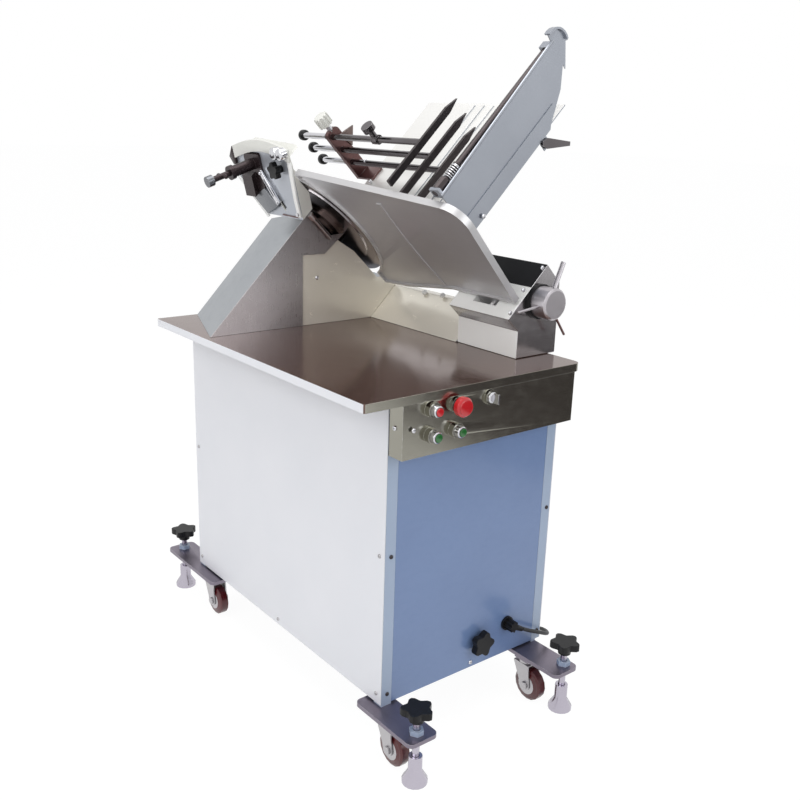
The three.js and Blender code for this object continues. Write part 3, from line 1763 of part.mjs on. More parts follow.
function dividerBracket() {
  const left = rodU - bracketEdge;
  const right = left + bracketWidth;
  const foot = chuteFloorW + seatGap;
  const post = prismY(
    outline([
      [left, foot],
      [right, foot],
      [right, bracketTopW, bracketEdge],
      [left, bracketTopW, bracketEdge],
    ]),
    bracketNear,
    bracketFar,
  );
  const flange = block(left, right, onHead(bracketFootY), bracketFar, foot, foot + bracketFootThick);
  const bores = rodHeights.map((w) =>
    rodBetween(
      [rodU, bracketNear - cutOver, w],
      [rodU, bracketFar + cutOver, w],
      rodRadius + seatGap,
      roundSides,
    ),
  );
  const knobBore = rodBetween(
    [clampU, bracketV, bracketTopW - clampStud],
    [clampU, bracketV, bracketTopW + cutOver],
    clampNeckRadius + seatGap,
  );
  return cutBy(post.add(flange), ...bores, knobBore);
}
const clampU = rodU - bracketEdge + bracketWidth / 2;
part("divider_bracket", dividerBracket(), castAluminium, carriage);

function bracketClampKnob() {
  return turned(
    [
      [0, -clampStud + runGap],
      [clampNeckRadius, -clampStud + runGap],
      [clampNeckRadius, clampNeckLength],
      [clampKnobRadius - clampKnobEdge, clampNeckLength],
      [clampKnobRadius, clampNeckLength + clampKnobEdge],
      [clampKnobRadius, clampNeckLength + clampKnobHeight - clampKnobEdge],
      [clampKnobRadius - clampKnobEdge, clampNeckLength + clampKnobHeight],
      [0, clampNeckLength + clampKnobHeight],
    ],
    [0, 0, 1],
    [0, 0, 0],
  );
}
const clampFrame = pivot("bracket_clamp_knob", [clampU, bracketV, bracketTopW], carriage);
part("bracket_clamp_knob", bracketClampKnob(), whitePaint, clampFrame);

// Divider rods: a round rod with a ball at one end and a pointed flat bar at the other
function dividerRod(w) {
  const barV = onHead(rodBarY);
  const ballV = onHead(rodBallY);
  const rod = rodBetween([rodU, barV, w], [rodU, ballV, w], rodRadius);
  const tip = ball([rodU, ballV, w], rodBallRadius);
  const bar = prismY(
    outline([
      [barStartU, w - barWidth / 2],
      [barTipU - barPointLength, w - barWidth / 2],
      [barTipU, w],
      [barTipU - barPointLength, w + barWidth / 2],
      [barStartU, w + barWidth / 2],
    ]),
    barV - barThick / 2,
    barV + barThick / 2,
  );
  return joined(rod, tip, bar);
}

// The top rod also carries a stop collar with a fluted thumb knob
function rodStop() {
  const from = [rodU, onHead(rodStopY), rodTopW];
  const to = [rodU, onHead(rodStopY) + rodStopLength, rodTopW];
  const sleeve = rodBetween(from, to, rodStopRadius);
  const stemFoot = [rodU, onHead(rodStopY) + rodStopLength / 2, rodTopW];
  const stem = rodBetween(stemFoot, along(stemFoot, [0, 0, 1], rodStopKnobStand), rodRadius);
  const crown = rodBetween(
    along(stemFoot, [0, 0, 1], rodStopKnobStand),
    along(stemFoot, [0, 0, 1], rodStopKnobStand + rodStopKnobHeight),
    rodStopKnobRadius,
    roundSides,
  );
  return joined(sleeve, stem, crown);
}
rodHeights.forEach((w, index) => {
  const rod = index === 0 ? dividerRod(w).add(rodStop()) : dividerRod(w);
  part(`divider_rod_${index + 1}`, rod, brightSteel, carriage);
});

// Shroud directions: along the blade, up the leaning face, and back across the blade
const shroudTilt = tilt - THREE.MathUtils.degToRad(shroudLeanDegrees);
const faceUp = new THREE.Vector3(Math.sin(shroudTilt), 0, Math.cos(shroudTilt));
const faceOut = new THREE.Vector3(-Math.cos(shroudTilt), 0, Math.sin(shroudTilt));
const shroudStand = shroudWall + shroudBladeGap;
const faceTop = new THREE.Vector3(0, 0, bladeRadius).addScaledVector(faceOut, shroudStand);
const faceFoot = faceTop.clone().addScaledVector(faceUp, (towerTopW - faceTop.z) / faceUp.z);
const shroudBasis = new THREE.Matrix4()
  .makeBasis(new THREE.Vector3(0, 1, 0), faceUp, new THREE.Vector3(1, 0, 0))
  .setPosition(faceFoot);

function shroudPrism(points, from, to) {
  const geometry = extrusion(points, to - from).translate(0, 0, from);
  return solidOf(geometry.applyMatrix4(shroudBasis));
}

// A place on the shroud's face, from its way along the blade and its height above the face's foot
function onShroud(v, rise) {
  const up = rise / Math.cos(THREE.MathUtils.degToRad(shroudLeanDegrees));
  return faceFoot.clone().addScaledVector(faceUp, up).setY(v).toArray();
}

const sharpenerAngle = tilt - THREE.MathUtils.degToRad(sharpenerTiltDegrees);
const sharpenerAxis = [-Math.cos(sharpenerAngle), 0, Math.sin(sharpenerAngle)];
const sharpenerPlace = onShroud(sharpenerV, sharpenerRise);
const knobPlace = onShroud(sharpenerKnobV, sharpenerKnobRise);

// Shroud: a hollow cover over the back of the blade, with a dished rim and slots in its face
function bladeShroud() {
  const plan = outline([
    [shroudNearV, 0],
    [shroudChamferV, 0],
    [shroudSideV, shroudChamferRise],
    [shroudFarV, shroudSideRise],
    [shroudFarV, shroudFarRise, shroudCornerRadius],
    [shroudCrownV, shroudTop + shroudCrown, shroudCornerRadius],
    [shroudNearV, shroudTop, shroudCornerRadius],
  ]);
  const cover = shroudPrism(plan, 0, shroudDepth);
  const wallBack = shroudWall / Math.cos(shroudTilt);
  const hollow = shroudPrism(inset(plan, shroudRimWall), wallBack, shroudDepth + cutOver);
  const bladeRoom = turned(
    [
      [0, -bladeThick - bladeRoomGap],
      [bladeBevelRadius + bladeRoomGap, -bladeThick - bladeRoomGap],
      [bladeRadius + bladeRoomGap, -bladeEdge - bladeRoomGap],
      [bladeRadius + bladeRoomGap, shroudDepth],
      [0, shroudDepth],
    ],
    [1, 0, 0],
    [0, 0, 0],
    bladeSides,
  );
  const far = bladeRadius * 2;
  const productSide = block(shroudFaceU, far, -far, far, 0, shroudOpenW);
  const towerSide = block(-far, far, -far, far, -far, towerTopW + seatGap);
  const slots = shroudSlots.map(([fromV, fromUp, toV, toUp]) => slotBetween(fromV, fromUp, toV, toUp));
  const rodHole = rodBetween(
    along(sharpenerPlace, sharpenerAxis, -sharpenerRodRadius * 2),
    along(sharpenerPlace, sharpenerAxis, sharpenerRodRadius * 2),
    sharpenerBoreRadius,
    roundSides,
  );
  const knobHole = rodBetween(
    along(knobPlace, faceOut.toArray(), -knobStudRadius),
    along(knobPlace, faceOut.toArray(), knobStudRadius),
    knobStudRadius + runGap,
  );
  const productRoom = productSide.subtract(shroudPrism(plan, 0, wallBack));
  return cutBy(cover, hollow, bladeRoom, productRoom, towerSide, ...slots, rodHole, knobHole);
}

function slotBetween(fromV, fromUp, toV, toUp) {
  const from = new THREE.Vector2(fromV, fromUp);
  const to = new THREE.Vector2(toV, toUp);
  const half = shroudSlotWidth / 2;
  const points = hull([
    ...circle(from.x, from.y, half, smallSides),
    ...circle(to.x, to.y, half, smallSides),
  ]);
  return shroudPrism(points, -cutOver, shroudWall + cutOver);
}
part("blade_shroud", bladeShroud(), whitePaint, head);

// Sharpener: a plate and block on the shroud's face, and a guide tube for the honing rod
function sharpenerBody() {
  const [, v] = sharpenerPlace;
  const up = sharpenerRise / Math.cos(THREE.MathUtils.degToRad(shroudLeanDegrees));
  const half = sharpenerPlateWidth / 2;
  const plate = shroudPrism(
    outline([
      [v - half, up - sharpenerPlateHeight + sharpenerPlateAbove],
      [v + half, up - sharpenerPlateHeight + sharpenerPlateAbove, sharpenerPlateCorner],
      [v + half, up + sharpenerPlateAbove, sharpenerPlateCorner],
      [v - half, up + sharpenerPlateAbove, sharpenerPlateCorner],
    ]),
    -seatGap * 2 - sharpenerPlateThick,
    -seatGap * 2,
  );
  const plateFoot = up - sharpenerPlateHeight + sharpenerPlateAbove;
  const blockFrom = v + half - sharpenerBlockWidth;
  const blockTo = v + half + sharpenerPlateThick;
  const blockTop = plateFoot + sharpenerBlockHeight;
  const honingBlock = shroudPrism(
    outline([
      [blockFrom, plateFoot],
      [blockTo, plateFoot],
      [blockTo, blockTop],
      [blockFrom, blockTop],
    ]),
    -sharpenerBlockOut,
    -seatGap * 2,
  );
  const tube = rodBetween(
    along(sharpenerPlace, sharpenerAxis, sharpenerPlateThick / 2 + seatGap * 2),
    along(sharpenerPlace, sharpenerAxis, sharpenerTubeLength),
    sharpenerTubeRadius,
    roundSides,
  );
  const tubeCollar = rodBetween(
    along(sharpenerPlace, sharpenerAxis, sharpenerTubeLength - sharpenerCollar),
    along(sharpenerPlace, sharpenerAxis, sharpenerTubeLength),
    sharpenerTubeRadius + sharpenerPinRadius,
    roundSides,
  );
  const bore = rodBetween(
    along(sharpenerPlace, sharpenerAxis, -sharpenerPlateThick),
    along(sharpenerPlace, sharpenerAxis, sharpenerTubeLength + cutOver),
    sharpenerBoreRadius,
    roundSides,
  );
  return joined(plate, honingBlock, tube, tubeCollar).subtract(bore);
}
part("sharpener_body", sharpenerBody(), darkSteel, head);

function sharpenerRod() {
  const out = (distance) => along(sharpenerPlace, sharpenerAxis, distance);
  const rodEnd = sharpenerTubeLength + sharpenerTravel + sharpenerRodOut;
  const rod = rodBetween(out(0), out(rodEnd), sharpenerRodRadius, roundSides);
  const grip = rodBetween(out(rodEnd - sharpenerEndLength), out(rodEnd), sharpenerEndRadius, roundSides);
  const pinAt = out(sharpenerTubeLength + sharpenerTravel + sharpenerPinBall);
  const pinEnds = [-sharpenerPinOut, sharpenerPinOut].map((reach) => along(pinAt, [0, 1, 0], reach));
  const pin = rodBetween(pinEnds[0], pinEnds[1], sharpenerPinRadius);
  return joined(rod, grip, pin, ...pinEnds.map((place) => ball(place, sharpenerPinBall)));
}
part("sharpener_rod", sharpenerRod(), brightSteel, head);

const sharpenerKnobFrame = pivot("sharpener_knob", knobPlace, head);
part(
  "sharpener_knob",
  handKnob({
    place: [0, 0, 0],
    axis: faceOut.toArray(),
    radius: sharpenerKnobRadius,
    height: sharpenerKnobHeight,
    stand: sharpenerKnobStand,
    stud: knobStudRadius / 2,
  }),
  blackPlastic,
  sharpenerKnobFrame,
);

// Cable gland: a flange nut on the front panel, a lobed dome and a tapered strain relief
const glandFace = frontPanelY;
const reliefAxis = [reliefAcross, -reliefForward, -reliefDown];
const reliefFrom = [glandX, glandFace - glandFlangeDepth - glandDomeDepth / 2, glandZ];
const reliefEnd = along(reliefFrom, reliefAxis, reliefLength);

function cableGland() {
  const neck = rodBetween(
    [glandX, glandFace + panelThick, glandZ],
    [glandX, glandFace - glandFlangeDepth, glandZ],
    glandNeckRadius,
  );
  const flange = rodBetween(
    [glandX, glandFace - seatGap - glandFlangeDepth, glandZ],
    [glandX, glandFace - seatGap, glandZ],
    glandFlangeRadius,
    roundSides,
  );
  const dome = prismAlong(
    knobOutline(glandRadius, glandLobes),
    [0, -1, 0],
    [glandX, glandFace - glandFlangeDepth, glandZ],
    glandDomeDepth,
  );
  const relief = turned(
    [
      [0, 0],
      [reliefBaseRadius, 0],
      [reliefTipRadius, reliefLength],
      [0, reliefLength],
    ],
    reliefAxis,
    reliefFrom,
  );
  return joined(neck, flange, dome, relief);
}
part("cable_gland", cableGland(), blackPlastic);

// The round coil, bottom layer winding in and top layer winding out
const coilPitch = cordRadius * 2 + coilGap;
const loopsPerLayer = coilLoops / coilLayers;
const coilOuter = coilMiddleRadius + (coilPitch * loopsPerLayer) / 2;
const coilInner = coilOuter - coilPitch * loopsPerLayer;
const floorCordZ = cordRadius / Math.cos(Math.PI / coilSides);
const layerTurns = loopsPerLayer * 2 * Math.PI;

function coilPoint(angle) {
  let radius = coilInner;
  let climb = THREE.MathUtils.clamp((angle - layerTurns) / Math.PI, 0, 1);
  if (angle < layerTurns) {
    radius = coilOuter - (coilPitch * angle) / (2 * Math.PI);
  }
  if (angle > layerTurns + Math.PI) {
    radius = coilInner + (coilPitch * (angle - layerTurns - Math.PI)) / (2 * Math.PI);
  }
  climb = climb * climb * (3 - 2 * climb);
  const end = 2 * layerTurns + Math.PI;
  const rise = THREE.MathUtils.clamp((angle - end + Math.PI) / Math.PI, 0, 1);
  const z = floorCordZ + coilPitch * climb + coilTailRise * rise * rise * (3 - 2 * rise);
  const turn = coilStartAngle - angle;
  return new THREE.Vector3(coilX + radius * Math.cos(turn), coilY + radius * Math.sin(turn), z);
}

function coilPoints() {
  const end = 2 * layerTurns + Math.PI;
  const count = (end / (2 * Math.PI)) * coilLoopSteps;
  const points = [];
  for (let i = 0; i <= count; i++) {
    points.push(coilPoint((i / count) * end));
  }
  const first = points[0];
  const last = points.at(-1);
  const intoFirst = first.clone().sub(points[1]).setZ(0).setLength(cordRadius * 2);
  const outOfLast = last.clone().sub(points.at(-2)).setZ(0).setLength(cordRadius * 2);
  return [first.clone().add(intoFirst), ...points, last.clone().add(outOfLast)];
}
const coil = coilPoints();
part("cord_coil", sweptTube(coil, cordRadius, coilSides), rubber);

// The free lead, from the strain relief round the right side of the cabinet to the coil
function leadPoints() {
  const start = new THREE.Vector3(...along(reliefEnd, reliefAxis, cordGap));
  const startOn = new THREE.Vector3(...along(reliefEnd, reliefAxis, cordRadius * 2));
  const into = coil[0].clone().sub(coil[1]).normalize();
  const end = coil[0].clone().addScaledVector(into, cordGap);
  const beforeEnd = end.clone().addScaledVector(into, cordRadius * 2);
  const curve = new THREE.CatmullRomCurve3(
    [start, startOn, ...leadRoute.map((place) => new THREE.Vector3(...place)), beforeEnd, end],
    false,
    "centripetal",
  );
  const count = Math.round(curve.getLength() / cordStep);
  return curve.getSpacedPoints(count);
}
part("cord_lead", sweptTube(leadPoints(), cordRadius, cordSides), rubber);

// Mains plug: a round body with a grip waist, a neck over the cord and two round pins
function mainsPlug() {
  const last = coil.at(-1);
  const direction = last.clone().sub(coil.at(-2)).normalize();
  const place = last.clone().addScaledVector(direction, seatGap).toArray();
  const body = turned(
    [
      [0, 0],
      [plugNeckRadius, 0],
      [plugNeckRadius + plugNeckFlare, plugNeckLength],
      [plugRadius, plugNeckLength + plugShoulder],
      [plugRadius, plugNeckLength + plugLength],
      [0, plugNeckLength + plugLength],
    ],
    direction.toArray(),
    place,
  );
  const across = new THREE.Vector3(0, 0, 1).cross(direction).normalize().toArray();
  const face = along(place, direction.toArray(), plugNeckLength + plugLength - cutOver);
  const pins = [-plugPinSpread / 2, plugPinSpread / 2].map((reach) => {
    const foot = along(face, across, reach);
    return rodBetween(foot, along(foot, direction.toArray(), plugPinLength + cutOver), plugPinRadius);
  });
  return joined(body, ...pins);
}
part("mains_plug", mainsPlug(), blackPlastic);

// The part stands on the floor, with the middle of its plan at the origin; the cord hangs off it
const cordNodes = ["cord_lead", "cord_coil", "mains_plug"];
const assembly = new THREE.Group();
assembly.add(slicer);
assembly.updateMatrixWorld(true);
const plan = new THREE.Box3();
slicer.traverse((mesh) => {
  if (mesh.isMesh && !cordNodes.includes(mesh.name)) plan.expandByObject(mesh, true);
});
const middle = plan.getCenter(new THREE.Vector3());
slicer.position.set(-middle.x, -middle.y, -plan.min.z);
assembly.updateMatrixWorld(true);

export default assembly;
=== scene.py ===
"""A meat slicer on its cabinet: finishes, fittings and the studio view."""

import json
from math import ceil, cos, pi, radians, sin, sqrt

import bpy
from mathutils import Matrix, Vector


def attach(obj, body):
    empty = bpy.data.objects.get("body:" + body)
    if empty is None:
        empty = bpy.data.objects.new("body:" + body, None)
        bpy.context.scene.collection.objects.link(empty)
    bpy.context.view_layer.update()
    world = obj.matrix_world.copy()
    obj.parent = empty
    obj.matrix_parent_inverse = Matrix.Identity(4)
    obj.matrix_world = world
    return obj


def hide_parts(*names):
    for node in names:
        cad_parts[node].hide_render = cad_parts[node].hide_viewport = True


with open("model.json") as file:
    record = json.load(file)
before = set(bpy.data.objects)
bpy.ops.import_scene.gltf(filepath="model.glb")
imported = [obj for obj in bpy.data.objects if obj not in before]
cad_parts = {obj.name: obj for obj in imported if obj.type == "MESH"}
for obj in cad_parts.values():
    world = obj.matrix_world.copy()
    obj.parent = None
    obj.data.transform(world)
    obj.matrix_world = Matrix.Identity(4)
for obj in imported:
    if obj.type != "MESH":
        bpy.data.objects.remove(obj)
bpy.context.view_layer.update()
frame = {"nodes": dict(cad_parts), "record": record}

# Places are in millimetres from the cabinet's front left corner on the floor
MM = 0.001
CORNER = Vector((-189.3, -363.5, 0.0))

# The slicing head leans: u runs across the blade, v to the back and w up the blade
HEAD_MIDDLE = Vector((243.0, 565.0, 933.0))
HEAD_TURN = Matrix.Rotation(radians(-45), 3, "Y")


def at(x, y, z):
    """A place in the frame, in metres."""
    return (CORNER + Vector((x, y, z))) * MM


def head_way(u, v, w):
    """A direction of the leaning head."""
    return HEAD_TURN @ Vector((u, v, w))


def head_at(u, v, w):
    """A place on the leaning head, in metres."""
    return (CORNER + HEAD_MIDDLE + head_way(u, v, w)) * MM


def in_mm(place):
    """A mesh place in millimetres from the cabinet's corner."""
    return Vector(place) / MM - CORNER


def new_object(name, data):
    made = bpy.data.objects.new(name, data)
    bpy.context.collection.objects.link(made)
    return made


# Camera
CAMERA_PLACE = at(-941.0, -1197.5, 1153.9)
CAMERA_TURN = radians(38.753)
CAMERA_PITCH = radians(16.610)
CAMERA_ROLL = radians(1.8015)
CAMERA_LENS = 42.526
CAMERA_SENSOR = 36.0


def make_camera():
    ahead = Vector(
        (
            sin(CAMERA_TURN) * cos(CAMERA_PITCH),
            cos(CAMERA_TURN) * cos(CAMERA_PITCH),
            -sin(CAMERA_PITCH),
        )
    )
    right = ahead.cross(Vector((0, 0, 1))).normalized()
    up = right.cross(ahead)
    rolled_right = right * cos(CAMERA_ROLL) + up * sin(CAMERA_ROLL)
    rolled_up = up * cos(CAMERA_ROLL) - right * sin(CAMERA_ROLL)
    turn = Matrix((rolled_right, rolled_up, -ahead)).transposed()
    data = bpy.data.cameras.new("photo camera")
    data.lens = CAMERA_LENS
    data.sensor_width = CAMERA_SENSOR
    camera = new_object("photo camera", data)
    camera.matrix_world = Matrix.Translation(CAMERA_PLACE) @ turn.to_4x4()
    bpy.context.scene.camera = camera
    bpy.context.scene.view_settings.view_transform = "Standard"


make_camera()

# Mains cord: the free lead from the strain relief, the round coil and the straight end at the plug
CORD_RADIUS = 4.0
RELIEF_FROM = Vector((318.0, -14.8, 174.0))
RELIEF_WAY = Vector((0.87, -0.16, -0.47)).normalized()
RELIEF_LENGTH = 30.0
CORD_GAP = 0.6
LEAD_ROUTE = [
    (390, -23, 138),
    (428, -14, 118),
    (454, 22, 102),
    (460, 110, 70),
    (452, 200, 26),
    (441, 270, 7),
    (438, 330, 5),
]
LEAD_STEP = 20.0
CURVE_STEPS = 12
SMALLEST_GAP = 1e-6
COIL_MIDDLE = Vector((492.0, 420.0, 0.0))
COIL_RADIUS = 45.0
COIL_PITCH = 8.8
LAYER_LOOPS = 2
COIL_STEPS = 24
COIL_FLOOR = 4.62
COIL_TAIL_RISE = 4.2
CORD_ROUNDING = 3
CORD_SMOOTHING = 4


def eased(share):
    share = min(max(share, 0.0), 1.0)
    return share * share * (3 - 2 * share)


def coil_points():
    outer = COIL_RADIUS + COIL_PITCH * LAYER_LOOPS / 2
    inner = outer - COIL_PITCH * LAYER_LOOPS
    layer = LAYER_LOOPS * 2 * pi
    end = 2 * layer + pi
    points = []
    for step in range(round(end / (2 * pi) * COIL_STEPS) + 1):
        angle = step * 2 * pi / COIL_STEPS
        radius = inner
        if angle < layer:
            radius = outer - COIL_PITCH * angle / (2 * pi)
        if angle > layer + pi:
            radius = inner + COIL_PITCH * (angle - layer - pi) / (2 * pi)
        height = COIL_FLOOR + COIL_PITCH * eased((angle - layer) / pi)
        height += COIL_TAIL_RISE * eased((angle - end + pi) / pi)
        turn = pi - angle
        points.append(COIL_MIDDLE + Vector((radius * cos(turn), radius * sin(turn), height)))
    tail = points[-1] - points[-2]
    tail.z = 0
    points.append(points[-1] + tail.normalized() * CORD_RADIUS * 2)
    return points


def through(places):
    """Points at even steps on the smooth curve that passes through these places."""
    ends = [places[0] * 2 - places[1], *places, places[-1] * 2 - places[-2]]
    dense = []
    for before, start, stop, after in zip(ends, ends[1:], ends[2:], ends[3:]):
        legs = ((before, start), (start, stop), (stop, after))
        gaps = [sqrt(max((b - a).length, SMALLEST_GAP)) for a, b in legs]
        t1 = gaps[0]
        t2 = t1 + gaps[1]
        t3 = t2 + gaps[2]
        for step in range(CURVE_STEPS):
            t = t1 + (t2 - t1) * step / CURVE_STEPS
            a1 = before.lerp(start, t / t1)
            a2 = start.lerp(stop, (t - t1) / (t2 - t1))
            a3 = stop.lerp(after, (t - t2) / (t3 - t2))
            b1 = a1.lerp(a2, t / t2)
            b2 = a2.lerp(a3, (t - t1) / (t3 - t1))
            dense.append(b1.lerp(b2, (t - t1) / (t2 - t1)))
    dense.append(places[-1])
    length = sum((b - a).length for a, b in zip(dense, dense[1:]))
    count = ceil(length / LEAD_STEP)
    even = [dense[0]]
    walked = 0.0
    for a, b in zip(dense, dense[1:]):
        step = (b - a).length
        while len(even) < count and walked + step >= length * len(even) / count:
            even.append(a.lerp(b, (length * len(even) / count - walked) / step))
        walked += step
    even.append(dense[-1])
    return even


def make_cord():
    coil = coil_points()
    relief_end = RELIEF_FROM + RELIEF_WAY * RELIEF_LENGTH
    into = (coil[0] - coil[1]).normalized()
    route = [
        relief_end + RELIEF_WAY * CORD_GAP,
        relief_end + RELIEF_WAY * CORD_RADIUS * 2,
        *[Vector(place) for place in LEAD_ROUTE],
        coil[0] + into * CORD_RADIUS * 2,
    ]
    points = [(CORNER + place) * MM for place in through(route) + coil]
    curve = bpy.data.curves.new("mains_cord", "CURVE")
    curve.dimensions = "3D"
    curve.bevel_depth = CORD_RADIUS * MM
    curve.bevel_resolution = CORD_ROUNDING
    curve.use_fill_caps = True
    spline = curve.splines.new("BEZIER")
    spline.resolution_u = CORD_SMOOTHING
    spline.bezier_points.add(len(points) - 1)
    for knot, place in zip(spline.bezier_points, points):
        knot.co = place
        knot.handle_left_type = "AUTO"
        knot.handle_right_type = "AUTO"
    cord = new_object("mains_cord", curve)
    length = sum((b - a).length for a, b in zip(points, points[1:]))
    return cord, points, length


cord, cord_points, cord_length = make_cord()
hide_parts("cord_lead", "cord_coil")
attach(cord, "base")

# Floor, backdrop and lights
FLOOR_SIZE = 60.0
FLOOR_PLACE = (0, 0, -0.0005)
FLOOR_ROUGHNESS = 0.9
FLOOR_COLOUR = (0.93, 0.93, 0.93, 1)
FLOOR_GLOW_SHARE = 0.90
FLOOR_GLOW = 1.06
WHITE = (1, 1, 1, 1)
ROOM_COLOUR = (0.80, 0.80, 0.82, 1)
ROOM_STRENGTH = 0.55
MAT_COLOUR = (0.10, 0.085, 0.085, 1)
MAT_MIDDLE = (2.55, -2.75, 0.002)
MAT_WIDTH = 2.9
MAT_LENGTH = 3.1
MAT_ROUGHNESS = 0.8

# Softboxes: name, place, aim, width, height, power and colour
SOFTBOXES = [
    ("left softbox", (-3.2, -0.6, 2.2), (0, 0, 0.6), 2.6, 2.2, 42, (1.0, 1.0, 1.0)),
    ("front softbox", (0.9, -3.4, 1.9), (0, 0, 0.5), 2.2, 1.6, 26, (0.95, 0.98, 1.0)),
    ("top softbox", (-0.4, -0.2, 3.6), (0, 0, 0), 2.4, 2.4, 46, (1.0, 1.0, 1.0)),
]


def seen(tree):
    """One for rays from the camera and for those that metal and glass send on, and nothing for others."""
    path = tree.nodes.new("ShaderNodeLightPath")
    direct = tree.nodes.new("ShaderNodeMath")
    direct.operation = "MAXIMUM"
    through_glass = tree.nodes.new("ShaderNodeMath")
    through_glass.operation = "MAXIMUM"
    tree.links.new(path.outputs["Is Camera Ray"], direct.inputs[0])
    tree.links.new(path.outputs["Is Glossy Ray"], direct.inputs[1])
    tree.links.new(direct.outputs[0], through_glass.inputs[0])
    tree.links.new(path.outputs["Is Transmission Ray"], through_glass.inputs[1])
    return through_glass.outputs[0]


def make_floor():
    bpy.ops.object.select_all(action="DESELECT")
    bpy.ops.mesh.primitive_plane_add(size=FLOOR_SIZE, location=FLOOR_PLACE)
    floor = bpy.context.object
    floor.name = "floor"
    material = bpy.data.materials.new("white floor")
    material.use_nodes = True
    tree = material.node_tree
    shader = tree.nodes["Principled BSDF"]
    shader.inputs["Base Color"].default_value = FLOOR_COLOUR
    shader.inputs["Roughness"].default_value = FLOOR_ROUGHNESS
    shader.inputs["Specular IOR Level"].default_value = 0
    glow = tree.nodes.new("ShaderNodeEmission")
    glow.inputs["Strength"].default_value = FLOOR_GLOW
    share = tree.nodes.new("ShaderNodeMath")
    share.operation = "MULTIPLY"
    share.inputs[1].default_value = FLOOR_GLOW_SHARE
    mix = tree.nodes.new("ShaderNodeMixShader")
    tree.links.new(seen(tree), share.inputs[0])
    tree.links.new(share.outputs[0], mix.inputs["Fac"])
    tree.links.new(shader.outputs[0], mix.inputs[1])
    tree.links.new(glow.outputs[0], mix.inputs[2])
    tree.links.new(mix.outputs[0], tree.nodes["Material Output"].inputs["Surface"])
    floor.data.materials.append(material)
    return floor


def make_dark_mat():
    """A dark floor mat beside the camera's view, which the front faces reflect."""
    bpy.ops.object.select_all(action="DESELECT")
    bpy.ops.mesh.primitive_plane_add(size=1, location=MAT_MIDDLE)
    mat = bpy.context.object
    mat.name = "dark floor mat"
    mat.scale = (MAT_WIDTH, MAT_LENGTH, 1)
    material = bpy.data.materials.new("dark mat")
    material.use_nodes = True
    shader = material.node_tree.nodes["Principled BSDF"]
    shader.inputs["Base Color"].default_value = MAT_COLOUR
    shader.inputs["Roughness"].default_value = MAT_ROUGHNESS
    shader.inputs["Specular IOR Level"].default_value = 0
    mat.data.materials.append(material)
    mat.visible_camera = False
    mat.visible_shadow = False
    return mat


def make_world():
    world = bpy.data.worlds.new("studio")
    bpy.context.scene.world = world
    world.use_nodes = True
    tree = world.node_tree
    tree.nodes.clear()
    output = tree.nodes.new("ShaderNodeOutputWorld")
    room = tree.nodes.new("ShaderNodeBackground")
    room.inputs["Color"].default_value = ROOM_COLOUR
    room.inputs["Strength"].default_value = ROOM_STRENGTH
    white = tree.nodes.new("ShaderNodeBackground")
    white.inputs["Color"].default_value = WHITE
    mix = tree.nodes.new("ShaderNodeMixShader")
    tree.links.new(seen(tree), mix.inputs["Fac"])
    tree.links.new(room.outputs[0], mix.inputs[1])
    tree.links.new(white.outputs[0], mix.inputs[2])
    tree.links.new(mix.outputs[0], output.inputs["Surface"])


def make_light(name, place, aim, width, height, power, colour):
    data = bpy.data.lights.new(name, "AREA")
    data.shape = "RECTANGLE"
    data.size = width
    data.size_y = height
    data.energy = power
    data.color = colour
    light = new_object(name, data)
    light.location = place
    light.rotation_euler = (Vector(aim) - Vector(place)).to_track_quat("-Z", "Y").to_euler()
    return light


floor = make_floor()
mat = make_dark_mat()
make_world()
lights = [make_light(*softbox) for softbox in SOFTBOXES]

# Shader groups shared by the finishes
CLOUD_STRETCH = (6, 6, 6)
SMEAR_STRETCH = (34, 22, 60)
WEAR_STRETCH = (90, 90, 90)
START_STRETCH = (900, 900, 900)
START_RADIUS = 0.001
WEAR_SAMPLES = 4


def new_group(name, inputs, outputs):
    group = bpy.data.node_groups.new(name, "ShaderNodeTree")
    for label, kind, value in inputs:
        socket = group.interface.new_socket(label, in_out="INPUT", socket_type=kind)
        socket.default_value = value
    for label in outputs:
        group.interface.new_socket(label, in_out="OUTPUT", socket_type="NodeSocketFloat")
    start = group.nodes.new("NodeGroupInput")
    end = group.nodes.new("NodeGroupOutput")
    return group, start, end


def add_node(tree, kind, **settings):
    node = tree.nodes.new(kind)
    for name, value in settings.items():
        setattr(node, name, value)
    return node


def stretched_noise(tree, stretch, detail, roughness):
    """Noise on the piece's own coordinates, drawn out by a vector socket or fixed values."""
    place = add_node(tree, "ShaderNodeTexCoord")
    scaled = add_node(tree, "ShaderNodeVectorMath", operation="MULTIPLY")
    noise = add_node(tree, "ShaderNodeTexNoise")
    noise.inputs["Scale"].default_value = 1
    noise.inputs["Detail"].default_value = detail
    noise.inputs["Roughness"].default_value = roughness
    tree.links.new(place.outputs["Object"], scaled.inputs[0])
    if isinstance(stretch, tuple):
        scaled.inputs[1].default_value = stretch
    else:
        tree.links.new(stretch, scaled.inputs[1])
    tree.links.new(scaled.outputs[0], noise.inputs["Vector"])
    return noise.outputs["Fac"]


def ranged(tree, value, low, high):
    """A value spread so that its low becomes nothing and its high becomes one."""
    node = add_node(tree, "ShaderNodeMapRange")
    node.inputs["From Min"].default_value = low
    node.inputs["From Max"].default_value = high
    tree.links.new(value, node.inputs["Value"])
    return node.outputs["Result"]


def computed(tree, operation, first, second):
    node = add_node(tree, "ShaderNodeMath", operation=operation)
    for socket, value in zip(node.inputs, (first, second)):
        if isinstance(value, (int, float)):
            socket.default_value = value
        else:
            tree.links.new(value, socket)
    return node.outputs[0]


